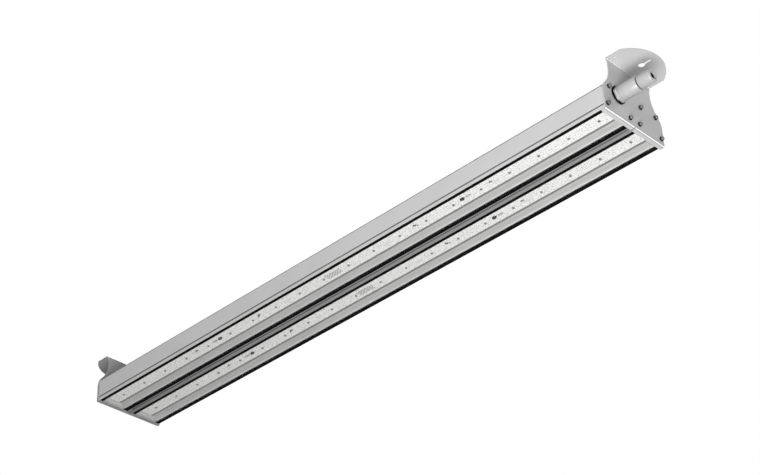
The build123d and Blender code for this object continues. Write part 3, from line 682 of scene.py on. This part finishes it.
def housing_paint(face, low, high, module):
    """Which of an extrusion's paints a face takes, by its place and the way it looks."""
    inset = min(face.center.y - low.y, high.y - face.center.y)
    from_gap = high.y - face.center.y if module == "front" else face.center.y - low.y
    height = face.center.z
    # Painted shade: the wall that faces the gap between the modules takes a darker copy of the extrusion's
    # tone
    if from_gap < WALL_SKIN and abs(face.normal.y) > ALONG_AXIS:
        return "gap_wall_painted_shade"
    if face.normal.z < -ALONG_AXIS and height < LIP_BOTTOM and face.center.y - low.y < LIP_THICK:
        return "gasket_black"
    # Painted shade: a dark line along the top shoulder and inside the side groove
    if inset < SHOULDER_INSET and height > SHOULDER_LOW:
        return "groove_and_shoulder_shade"
    if GROOVE_LOW < height < GROOVE_HIGH and WALL_SKIN < inset < GROOVE_DEPTH:
        return "groove_and_shoulder_shade"
    # Painted shade: the channel's faces beside the boards take a darker copy of the extrusion's tone
    if CHANNEL_LOW < height < CHANNEL_HIGH and inset > CHANNEL_INSET and abs(face.normal.x) < CHANNEL_END:
        return "channel_painted_shade"
    return "anodised_extrusion"


def paint_housings():
    """Paint shade into the grooves, the top shoulders, the channel and the wall at the gap, and pick out the
    lip of each extrusion.
    """
    finishes = ("anodised_extrusion", "groove_and_shoulder_shade", "channel_painted_shade", "gap_wall_painted_shade", "gasket_black")
    for module in MODULES:
        node = f"{module}_housing"
        low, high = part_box(node)
        mesh = frame["nodes"][node].data
        for name in finishes[1:]:
            mesh.materials.append(FINISHES[name])
        for face in mesh.polygons:
            face.material_index = finishes.index(housing_paint(face, low, high, module))


def paint_plates():
    """Paint shade onto the far plate with a darker copy of the plate steel, and a painted highlight and a
    painted shadow into the folds of both plates.
    """
    paint(frame["nodes"]["blank_end_plate"], FINISHES["far_plate_painted_shade"])
    for node in ("feed_end_plate", "blank_end_plate"):
        mesh = frame["nodes"][node].data
        mesh.materials.append(FINISHES["fold_painted_highlight"])
        mesh.materials.append(FINISHES["fold_shadow"])
        for face in mesh.polygons:
            lean = abs(face.normal.z)
            # Painted highlight on the part of each fold that would catch the light, painted shadow on the
            # rest
            if abs(face.normal.y) < FOLD_SIDEWAYS and FOLD_LEAN[0] < lean < FOLD_LEAN[1]:
                face.material_index = 1 if FOLD_HIGHLIGHT[0] < lean < FOLD_HIGHLIGHT[1] else 2


def paint_frame():
    """Give every CAD node the finish of its own material slot, then pick out by place the lips and the
    painted shade and highlights of the housings and plates.
    """
    for row in frame["record"]["subparts"]:
        paint(frame["nodes"][row["node"]], FINISHES[row["material_slot"]])
    paint_housings()
    paint_plates()


# LED packages

def led_package(size):
    """One package, light side down, with its window, rounded window corners and solder at both ends."""
    body = cube("led_package", size)
    bottom = -size[2] / 2
    with editing(body):
        pick_faces(body, lambda middle, normal: normal.z < -ALONG_AXIS)
        bpy.ops.mesh.inset(thickness=WINDOW_MARGIN, depth=0)
        bpy.ops.mesh.select_mode(type="VERT")
        bpy.ops.mesh.bevel(offset=WINDOW_CORNER, segments=2, affect="VERTICES")
        pick_faces(body, lambda middle, normal: normal.z < -ALONG_AXIS and middle.xy.length < NEAR and
                   abs(middle.z - bottom) < MERGE)
        bpy.ops.mesh.inset(thickness=WINDOW_RIM, depth=-WINDOW_DEPTH)
    paint(body, FINISHES["led_package"], FINISHES["phosphor"], FINISHES["solder"])
    for face in body.data.polygons:
        if face.center.xy.length < NEAR and face.normal.z < -ALONG_AXIS:
            face.material_index = 1
    solder = []
    for side in (-1, 1):
        centre = (side * (size[0] + SOLDER_LENGTH) / 2, 0, (size[2] - SOLDER_HEIGHT) / 2)
        fillet = cube("solder", (SOLDER_LENGTH, SOLDER_WIDTH, SOLDER_HEIGHT), centre)
        with editing(fillet):
            pick_faces(fillet, lambda middle, normal: normal.z < -ALONG_AXIS)
            bpy.ops.transform.resize(value=SOLDER_TAPER, center_override=(side * size[0] / 2, 0, 0))
        paint(fillet, FINISHES["solder"])
        solder.append(fillet)
    return joined("led_package", *solder, body)


def led_rows():
    for module in MODULES:
        node = f"{module}_led_chips"
        boxes = solids_of(node)
        low, high = boxes[0]
        places = [Matrix.Translation((low + high) / 2) for low, high in boxes]
        fitted(copies(led_package(high - low), f"{module}_led_packages", places), "led_package", node)


# Screws

def pointed(way, stem, tip, taper):
    """In edit mode, draw the picked face out into a stem with a narrower tip, up or down."""
    grow(stem - tip)
    bpy.ops.mesh.extrude_region_move(TRANSFORM_OT_translate={"value": (0, 0, way * tip)})
    bpy.ops.transform.resize(value=(taper, taper, 1), center_override=(0, 0, 0))


def pan_screw(head_radius, head, grip):
    """Cross-recessed pan-head screw, head down, seat at z = 0 and shank up."""
    screw = cylinder("pan_screw", head_radius, -head, 0, PAN_SIDES)
    with editing(screw):
        pick_edges(screw, lambda a, b: max(a.z, b.z) < -head + NEAR)
        bpy.ops.mesh.bevel(offset=PAN_EDGE, segments=3, affect="EDGES")
        pick_faces(screw, lambda middle, normal: normal.z > ALONG_AXIS)
        bpy.ops.mesh.inset(thickness=head_radius - SHANK_RADIUS, depth=0)
        pointed(1, grip, SHANK_TIP, SHANK_TAPER)
    for turn in (0, pi / 2):
        arm = cube("cross", (CROSS_LENGTH, CROSS_WIDTH, 2 * CROSS_DEPTH), (0, 0, -head))
        with editing(arm):
            pick_faces(arm, lambda middle, normal: normal.z > ALONG_AXIS)
            bpy.ops.transform.resize(value=CROSS_TAPER, center_override=(0, 0, 0))
        arm.data.transform(Matrix.Rotation(turn, 4, "Z"))
        cut_away(screw, arm)
    soften(screw)
    return screw


def board_screw_set():
    for module in MODULES:
        node = f"{module}_board_screws"
        boxes = solids_of(node)
        low, high = boxes[0]
        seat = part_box(f"{module}_led_board_1")[0].z
        model = pan_screw((high.x - low.x) / 2, seat - low.z, high.z - seat)
        paint(model, FINISHES["bright_screw"])
        middles = [(low + high) / 2 for low, high in boxes]
        places = [Matrix.Translation((middle.x, middle.y, seat)) for middle in middles]
        fitted(copies(model, f"{module}_pan_screws", places), "bright_screw", node)


def socket_screw(length):
    """Knurled socket-head screw along Z, head from z = 0 up and stem down."""
    inner = HEAD_RADIUS - KNURL_DEPTH
    screw = cylinder("socket_screw", inner, 0, HEAD_HEIGHT, KNURL_SIDES)
    with editing(screw):
        pick_edges(screw, lambda a, b: min(a.z, b.z) > HEAD_HEIGHT - NEAR)
        bpy.ops.mesh.bevel(offset=HEAD_EDGE, segments=2, affect="EDGES")
        step = 2 * pi / KNURL_SIDES
        pick_faces(screw, lambda middle, normal: abs(normal.z) < ACROSS_AXIS and
                   round(Vector((middle.x, middle.y)).angle_signed(Vector((1, 0))) / step - 0.5) % 2 == 0)
        bpy.ops.mesh.inset(thickness=KNURL_MARGIN, depth=KNURL_DEPTH, use_individual=True)
        pick_faces(screw, lambda middle, normal: normal.z < -ALONG_AXIS)
        bpy.ops.mesh.inset(thickness=inner - STEM_RADIUS, depth=0)
        pointed(-1, length, STEM_TIP, STEM_TAPER)
    corner = SOCKET_ACROSS / 2 / cos(pi / 6)
    socket = cylinder("socket", corner, HEAD_HEIGHT - SOCKET_DEPTH, 2 * HEAD_HEIGHT, 6)
    cut_away(screw, socket)
    soften(screw)
    return screw


def sealing_washer():
    """Rubber washer under a socket screw's head, bulging where the head presses on it."""
    middle = -WASHER_HEIGHT / 2
    rim = WASHER_RADIUS - WASHER_ROUND
    stations = [
        (-WASHER_HEIGHT, WASHER_BORE), (-WASHER_HEIGHT, rim), (middle, WASHER_RADIUS),
        (-WASHER_ROUND, rim), (0, HEAD_RADIUS), (0, WASHER_BORE), (-WASHER_HEIGHT, WASHER_BORE),
    ]
    washer = turned("sealing_washer", stations, WASHER_SIDES)
    soften(washer, ROUND_DEGREES)
    return washer


def plate_screw_sets():
    for end, out in (("feed", 1), ("blank", -1)):
        node = f"{end}_plate_screws"
        boxes = solids_of(node)
        low, high = boxes[0]
        length = high.x - low.x - HEAD_HEIGHT
        turn = Matrix.Rotation(out * pi / 2, 4, "Y")
        places = []
        for low, high in boxes:
            seat = high.x - HEAD_HEIGHT if out > 0 else low.x + HEAD_HEIGHT
            places.append(Matrix.Translation((seat, (low.y + high.y) / 2, (low.z + high.z) / 2)) @ turn)
        screw = socket_screw(length)
        paint(screw, FINISHES["plate_screw"])
        fitted(copies(screw, f"{end}_socket_screws", places), "plate_screw", node)
        washer = sealing_washer()
        paint(washer, FINISHES["black_rubber"])
        fitted(copies(washer, f"{end}_sealing_washers", places), "black_rubber", f"{end}_plate_washers")


# Cable gland

def gland_place():
    """Puts a piece made along Z from the plate's face into its place on the feed plate."""
    axis = centre_of("gland_sealing_ring")
    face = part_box("gland_sealing_ring")[0].x
    return Matrix.Translation((face, axis.y, axis.z)) @ Matrix.Rotation(pi / 2, 4, "Y")


def gland_body():
    """Body with its tail through the plate, a hexagon collar, a smooth barrel and a threaded neck."""
    collar_end = RING_THICK + COLLAR_THICK
    foot = [(collar_end + along * MM, BODY_RADIUS - inset * MM) for along, inset in BODY_FOOT]
    rim = [(BODY_END - along * MM, BODY_RADIUS - inset * MM) for along, inset in BODY_RIM]
    stations = [
        (-THREAD_TAIL, BORE_RADIUS), (-THREAD_TAIL, THREAD_RADIUS - THREAD_ARRIS),
        (-THREAD_TAIL + THREAD_ARRIS, THREAD_RADIUS), (RING_THICK, THREAD_RADIUS), (RING_THICK, foot[0][1]),
        *foot, *rim, (BODY_END, NECK_RADIUS),
    ]
    start = BODY_END + THREAD_START
    for k in range(int((NECK_END - start) / THREAD_PITCH)):
        z = start + k * THREAD_PITCH
        valley = (z + THREAD_PITCH / 2, NECK_RADIUS - THREAD_DEPTH)
        stations += [(z, NECK_RADIUS), valley, (z + THREAD_PITCH, NECK_RADIUS)]
    stations += [(NECK_END, NECK_RADIUS), (NECK_END, SEAT_RADIUS), (SEAT_START, SEAT_RADIUS),
                 (SEAT_START, BORE_RADIUS), (-THREAD_TAIL, BORE_RADIUS)]
    barrel = turned("gland_barrel", stations, GLAND_SIDES)
    collar = hexagon_collar(collar_end)
    soften(barrel)
    soften(collar)
    return joined("gland_shell", collar, barrel)


def hexagon_collar(collar_end):
    """Hexagon with chamfered corners round the body's foot."""
    corner = COLLAR_ACROSS / 2 / cos(pi / 6)
    collar = cylinder("gland_collar", corner, RING_THICK, collar_end, 6)
    tool = cylinder("round", COLLAR_ROUND / 2, RING_THICK - COLLAR_LAP, collar_end + COLLAR_LAP, GLAND_SIDES)
    with editing(tool):
        pick_edges(tool, lambda a, b: min(a.z, b.z) > collar_end)
        bpy.ops.mesh.bevel(offset=COLLAR_CHAMFER, segments=3, affect="EDGES")
    apply_modifier(collar, "BOOLEAN", operation="INTERSECT", solver="EXACT", object=tool)
    bpy.data.objects.remove(tool)
    cut_away(collar, cylinder("core", BODY_RADIUS - COLLAR_LAP, 0, 2 * collar_end, GLAND_SIDES))
    apply_modifier(collar, "BEVEL", width=COLLAR_ARRIS, segments=2, limit_method="ANGLE")
    return collar


def gland_cap():
    """Cap nut with a well-rounded outer rim and a chamfered mouth."""
    inner = NECK_RADIUS + SLIP
    shoulder = NECK_END + CAP_GAP
    foot = [(CAP_START + along * MM, CAP_RADIUS - inset * MM) for along, inset in CAP_FOOT]
    round_start = CAP_END - CAP_ROUND
    round_centre = CAP_RADIUS - CAP_ROUND
    stations = [(CAP_START, inner), *foot, (round_start, CAP_RADIUS)]
    for k in range(1, CAP_ROUND_STEPS + 1):
        turn = k * pi / 2 / CAP_ROUND_STEPS
        stations.append((round_start + CAP_ROUND * sin(turn), round_centre + CAP_ROUND * cos(turn)))
    stations += [(CAP_END, CAP_MOUTH + CAP_MOUTH_ARRIS), (CAP_END - CAP_MOUTH_ARRIS, CAP_MOUTH),
                 (shoulder + SEAT_CONE, CAP_MOUTH), (shoulder, SEAT_RADIUS + SLIP), (shoulder, inner),
                 (CAP_START, inner)]
    cap = turned("gland_cap", stations, GLAND_SIDES)
    soften(cap, ROUND_DEGREES)
    return cap


def gland_sleeve():
    """Rubber insert that shows in the cap's mouth round the cable hole."""
    back = SEAT_START + SLIP
    wide = SEAT_RADIUS - SLIP
    front = CAP_END - INSERT_SET_BACK
    stations = [
        (back, CABLE_RADIUS), (back, wide), (NECK_END, wide), (NECK_END + SEAT_CONE, INSERT_RADIUS),
        (front - INSERT_ARRIS, INSERT_RADIUS), (front, INSERT_RADIUS - INSERT_ARRIS),
        (front, CABLE_RADIUS + CABLE_CHAMFER), (front - CABLE_CHAMFER, CABLE_RADIUS), (back, CABLE_RADIUS),
    ]
    sleeve = turned("gland_sleeve", stations, GLAND_SIDES)
    soften(sleeve)
    return sleeve


def gland_pieces():
    """Body, cap and insert, with black painted shade on the neck's thread and inside the cable hole."""
    for make, slot, node in (
        (gland_body, "nickel_plate", "gland_body"),
        (gland_cap, "nickel_plate", "gland_cap_nut"),
        (gland_sleeve, "gland_rubber", "gland_insert"),
    ):
        piece = make()
        paint(piece, FINISHES[slot], FINISHES["gasket_black"])
        # Painted shade: the slit over the neck's thread and the inside of the cable hole are painted black
        for face in piece.data.polygons:
            radius = face.center.xy.length
            neck = node == "gland_body" and face.center.z > BODY_END and radius < NECK_RADIUS + NEAR
            if radius < CABLE_RADIUS + CABLE_SKIN or neck:
                face.material_index = 1
        piece.data.transform(gland_place())
        fitted(piece, slot, node)


# Small parts on the boards

def board_connector(size):
    """Low plug-in connector with a shrouded row of contacts at each end."""
    shell = cube("board_connector", size)
    with editing(shell):
        pick_faces(shell, lambda middle, normal: abs(normal.x) > ALONG_AXIS)
        bpy.ops.mesh.inset(thickness=SHROUD_WALL, depth=-SHROUD_DEPTH, use_individual=True)
    apply_modifier(shell, "BEVEL", width=CONNECTOR_ARRIS, segments=2, limit_method="ANGLE")
    paint(shell, FINISHES["connector_white"], FINISHES["solder"])
    contacts = []
    for side in (-1, 1):
        for row in (-1, 1):
            x = side * (size[0] / 2 + CONTACT_REACH)
            centre = (x, row * CONTACT_APART / 2, (size[2] - CONTACT_SIZE.z) / 2)
            contact = cube("contact", CONTACT_SIZE, centre)
            apply_modifier(contact, "BEVEL", width=CONTACT_ARRIS, segments=2)
            paint(contact, FINISHES["solder"])
            contacts.append(contact)
    return joined("board_connector", *contacts, shell)


def board_connectors():
    for module in MODULES:
        node = f"{module}_board_links"
        boxes = solids_of(node)
        low, high = boxes[0]
        places = [Matrix.Translation((low + high) / 2) for low, high in boxes]
        connectors = copies(board_connector(high - low), f"{module}_board_connectors", places)
        fitted(connectors, "connector_white", node)


def mirrored(x):
    """The same distance along a module, on its other half."""
    return 2 * BOARD_MIDDLE - x


def suppressor(board):
    """Oval disc with a rounded lower edge, hanging from the underside of a board at z = board."""
    disc = cylinder("suppressor", SUPPRESSOR_WIDTH / 2, board - SUPPRESSOR_HEIGHT, board, SUPPRESSOR_SIDES)
    with editing(disc):
        pick_edges(disc, lambda a, b: max(a.z, b.z) < board - SUPPRESSOR_HEIGHT / 2)
        bpy.ops.mesh.bevel(offset=SUPPRESSOR_ROUND, segments=3, affect="EDGES")
        bpy.ops.mesh.select_all(action="SELECT")
        oval = (SUPPRESSOR_LENGTH / SUPPRESSOR_WIDTH, 1, 1)
        bpy.ops.transform.resize(value=oval, center_override=(0, 0, 0))
    paint(disc, FINISHES["gasket_black"])
    soften(disc)
    return disc


def inlet_socket():
    """Low socket with its mouth towards the blank end."""
    inlet = cube("inlet_socket", (SOCKET_LENGTH, SOCKET_WIDTH, SOCKET_HEIGHT))
    with editing(inlet):
        pick_faces(inlet, lambda middle, normal: normal.x < -ALONG_AXIS)
        bpy.ops.mesh.inset(thickness=SOCKET_WALL, depth=-SOCKET_POCKET)
    apply_modifier(inlet, "BEVEL", width=SOCKET_ARRIS, segments=2, limit_method="ANGLE")
    paint(inlet, FINISHES["gland_rubber"])
    return inlet


def board_fittings():
    """Suppressor and inlet socket on one board in each half of a module."""
    for module in MODULES:
        low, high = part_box(f"{module}_led_board_4")
        y = (low.y + high.y) / 2 + FITTING_SHIFT
        places = [Matrix.Translation((x, y, 0)) for x in (SUPPRESSOR_X, mirrored(SUPPRESSOR_X))]
        fitted(copies(suppressor(low.z), f"{module}_suppressors", places), "black_rubber")
        level = low.z - SOCKET_HEIGHT / 2
        places = [
            Matrix.Translation((SOCKET_X, y, level)),
            Matrix.Translation((mirrored(SOCKET_X), y, level)) @ Matrix.Rotation(pi, 4, "Z"),
        ]
        fitted(copies(inlet_socket(), f"{module}_inlet_sockets", places), "connector_white")


def bevelled_chip(name, size):
    chip = cube(name, size)
    apply_modifier(chip, "BEVEL", width=CHIP_ARRIS, segments=1)
    paint(chip, FINISHES["dark_part"])
    return chip


def chip_places(y, board):
    """Spots of the chips in each group, with the groups of one half mirrored to the other."""
    level = board - CHIP_SIZE[2] / 2
    groups = [(x, 1) for x in CHIP_GROUPS] + [(mirrored(x), -1) for x in CHIP_GROUPS]
    return [Matrix.Translation((x + side * dx * MM, y + dy * MM, level))
            for x, side in groups for dx, dy in CHIP_SPOTS]


def resistor_places(y, board):
    """Spots of the resistors: a staggered patch of rows across the board, with some of them turned."""
    level = board - RESISTOR_SIZE[2] / 2
    places = []
    for k in range(RESISTOR_COUNT):
        row = RESISTOR_ROW_STEP * k % RESISTOR_ROWS
        across = (row - (RESISTOR_ROWS - 1) / 2) * RESISTOR_PITCH
        along = RESISTOR_X + (k / (RESISTOR_COUNT - 1) - 0.5) * RESISTOR_SPAN
        turn = Matrix.Rotation(pi / 2 * (k % RESISTOR_TURNED_EVERY == 1), 4, "Z")
        places.append(Matrix.Translation((along, y + across, level)) @ turn)
    return places


def small_parts():
    """Groups of chips and a patch of resistors, soldered to the boards between the rows of packages."""
    for module in MODULES:
        low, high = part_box(f"{module}_led_board_1")
        y = (low.y + high.y) / 2
        chips = copies(bevelled_chip("chip", CHIP_SIZE), "chips", chip_places(y, low.z))
        resistor = bevelled_chip("resistor", RESISTOR_SIZE)
        resistors = copies(resistor, "resistors", resistor_places(y, low.z))
        fitted(joined(f"{module}_small_parts", resistors, chips), "black_rubber")


def glass_panes():
    """Panes with ground edges, black where the seals grip them."""
    for module in MODULES:
        node = f"{module}_cover_glass"
        low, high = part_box(node)
        size = high - low - Vector((0, 2, 2)) * PANE_PLAY
        pane = cube(f"{module}_pane", size, (low + high) / 2)
        apply_modifier(pane, "BEVEL", width=PANE_ARRIS, segments=2)
        paint(pane, FINISHES["clear_glass"], FINISHES["gasket_black"])
        for face in pane.data.polygons:
            if abs(face.normal.z) < ALONG_AXIS:
                face.material_index = 1
        fitted(pane, "clear_glass", node)


def painted_shade_strips():
    """Dark grey strips that clasp both long edges of the boards, painting the shade that lies beside their
    edges.
    """
    for module in MODULES:
        low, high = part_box(f"{module}_led_board_1")
        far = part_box(f"{module}_led_board_5")[1]
        strips = []
        for side, edge in ((-1, low.y), (1, high.y)):
            middle = edge + side * (STRIP_WIDTH / 2 - STRIP_LAP)
            height = high.z - low.z + STRIP_LIP
            centre = ((low.x + far.x) / 2, middle, high.z - height / 2)
            strip = cube("painted_shade_strip", (far.x - low.x, STRIP_WIDTH, height), centre)
            apply_modifier(strip, "BEVEL", width=STRIP_ARRIS, segments=2)
            # Painted shade: the strip's dark grey stands in for shade on the channel beside the board
            paint(strip, FINISHES["strip_painted_shade"])
            strips.append(strip)
        fitted(joined(f"{module}_painted_shade_strips", *strips), "gland_rubber")


def seal_aprons():
    """Thin black flaps of the seals that lie on the ledges beside them."""
    for module in MODULES:
        flaps = []
        for side, seal in ((-1, "left"), (1, "right")):
            low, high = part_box(f"{module}_{seal}_glass_seal")
            inner = high.y if side < 0 else low.y
            centre = ((low.x + high.x) / 2, inner - side * APRON_WIDTH / 2, APRON_TOP - APRON_HEIGHT / 2)
            flap = cube("seal_apron", (high.x - low.x, APRON_WIDTH, APRON_HEIGHT), centre)
            apply_modifier(flap, "BEVEL", width=APRON_ARRIS, segments=2)
            paint(flap, FINISHES["gasket_black"])
            flaps.append(flap)
        fitted(joined(f"{module}_seal_aprons", *flaps), "black_rubber")


# Studio

def eye_rays(tree):
    """Socket that is 1 for camera, mirror and glass rays, and 0 for the rays that light a surface."""
    rays = tree.nodes.new("ShaderNodeLightPath")
    first = tree.nodes.new("ShaderNodeMath")
    first.operation = "MAXIMUM"
    second = tree.nodes.new("ShaderNodeMath")
    second.operation = "MAXIMUM"
    tree.links.new(rays.outputs["Is Camera Ray"], first.inputs[0])
    tree.links.new(rays.outputs["Is Transmission Ray"], first.inputs[1])
    tree.links.new(first.outputs["Value"], second.inputs[0])
    tree.links.new(rays.outputs["Is Glossy Ray"], second.inputs[1])
    return second.outputs["Value"]


def backdrop():
    """White surroundings where they are seen, also in mirrors and through glass, and an even soft light."""
    world = bpy.data.worlds.new("studio")
    bpy.context.scene.world = world
    world.use_nodes = True
    tree = world.node_tree
    link = tree.links.new
    seen = tree.nodes["Background"]
    seen.inputs["Color"].default_value = colour(1.0)
    seen.inputs["Strength"].default_value = 1.0
    soft = tree.nodes.new("ShaderNodeBackground")
    soft.inputs["Color"].default_value = colour(1.0)
    soft.inputs["Strength"].default_value = WORLD_LIGHT
    mix = tree.nodes.new("ShaderNodeMixShader")
    link(eye_rays(tree), mix.inputs["Fac"])
    link(soft.outputs["Background"], mix.inputs[1])
    link(seen.outputs["Background"], mix.inputs[2])
    link(mix.outputs["Shader"], tree.nodes["World Output"].inputs["Surface"])


def hall_floor():
    """Pale floor that still takes shadows, lifted to near white where it is seen."""
    bpy.ops.object.select_all(action="DESELECT")
    bpy.ops.mesh.primitive_plane_add(size=FLOOR_SIZE, location=(0, 0, FLOOR_Z))
    floor = bpy.context.object
    floor.name = "hall_floor"
    bpy.ops.object.transform_apply(location=True, rotation=True, scale=True)
    material = finish("pale_floor", 0.84, 0.88, (0.7, 0.8), density=2.0)
    tree = material.node_tree
    link = tree.links.new
    glow = tree.nodes.new("ShaderNodeEmission")
    glow.inputs["Strength"].default_value = FLOOR_GLOW
    mix = tree.nodes.new("ShaderNodeMixShader")
    both = tree.nodes.new("ShaderNodeAddShader")
    link(eye_rays(tree), mix.inputs["Fac"])
    link(glow.outputs["Emission"], mix.inputs[2])
    link(tree.nodes["Principled BSDF"].outputs["BSDF"], both.inputs[0])
    link(mix.outputs["Shader"], both.inputs[1])
    link(both.outputs["Shader"], tree.nodes["Material Output"].inputs["Surface"])
    paint(floor, material)


def lamps():
    """Soft square lamps that all point at the middle of the luminaire."""
    for name, (place, size, watts) in LAMPS.items():
        data = bpy.data.lights.new(name, "AREA")
        data.shape = "SQUARE"
        data.size = size
        data.energy = watts
        lamp = bpy.data.objects.new(name, data)
        lamp.location = place
        lamp.rotation_euler = (LAMP_TARGET - Vector(place)).to_track_quat("-Z", "Y").to_euler()
        bpy.context.collection.objects.link(lamp)


def camera():
    reach = cos(CAMERA_RISE)
    forward = Vector((reach * cos(CAMERA_HEADING), reach * sin(CAMERA_HEADING), sin(CAMERA_RISE)))
    level = forward.cross(Z).normalized()
    upward = level.cross(forward)
    right = cos(CAMERA_ROLL) * level + sin(CAMERA_ROLL) * upward
    up = -sin(CAMERA_ROLL) * level + cos(CAMERA_ROLL) * upward
    data = bpy.data.cameras.new("camera")
    data.lens = LENS_MM
    data.sensor_width = SENSOR_MM
    data.clip_end = SIGHT_END
    obj = bpy.data.objects.new("camera", data)
    obj.matrix_world = Matrix.Translation(CAMERA_PLACE) @ Matrix((right, up, -forward)).transposed().to_4x4()
    bpy.context.collection.objects.link(obj)
    bpy.context.scene.camera = obj


# The scene

camera()
backdrop()
hall_floor()
lamps()
bpy.context.scene.view_settings.view_transform = "Standard"

paint_frame()
led_rows()
board_screw_set()
plate_screw_sets()
gland_pieces()
board_connectors()
board_fittings()
small_parts()
glass_panes()
painted_shade_strips()
seal_aprons()
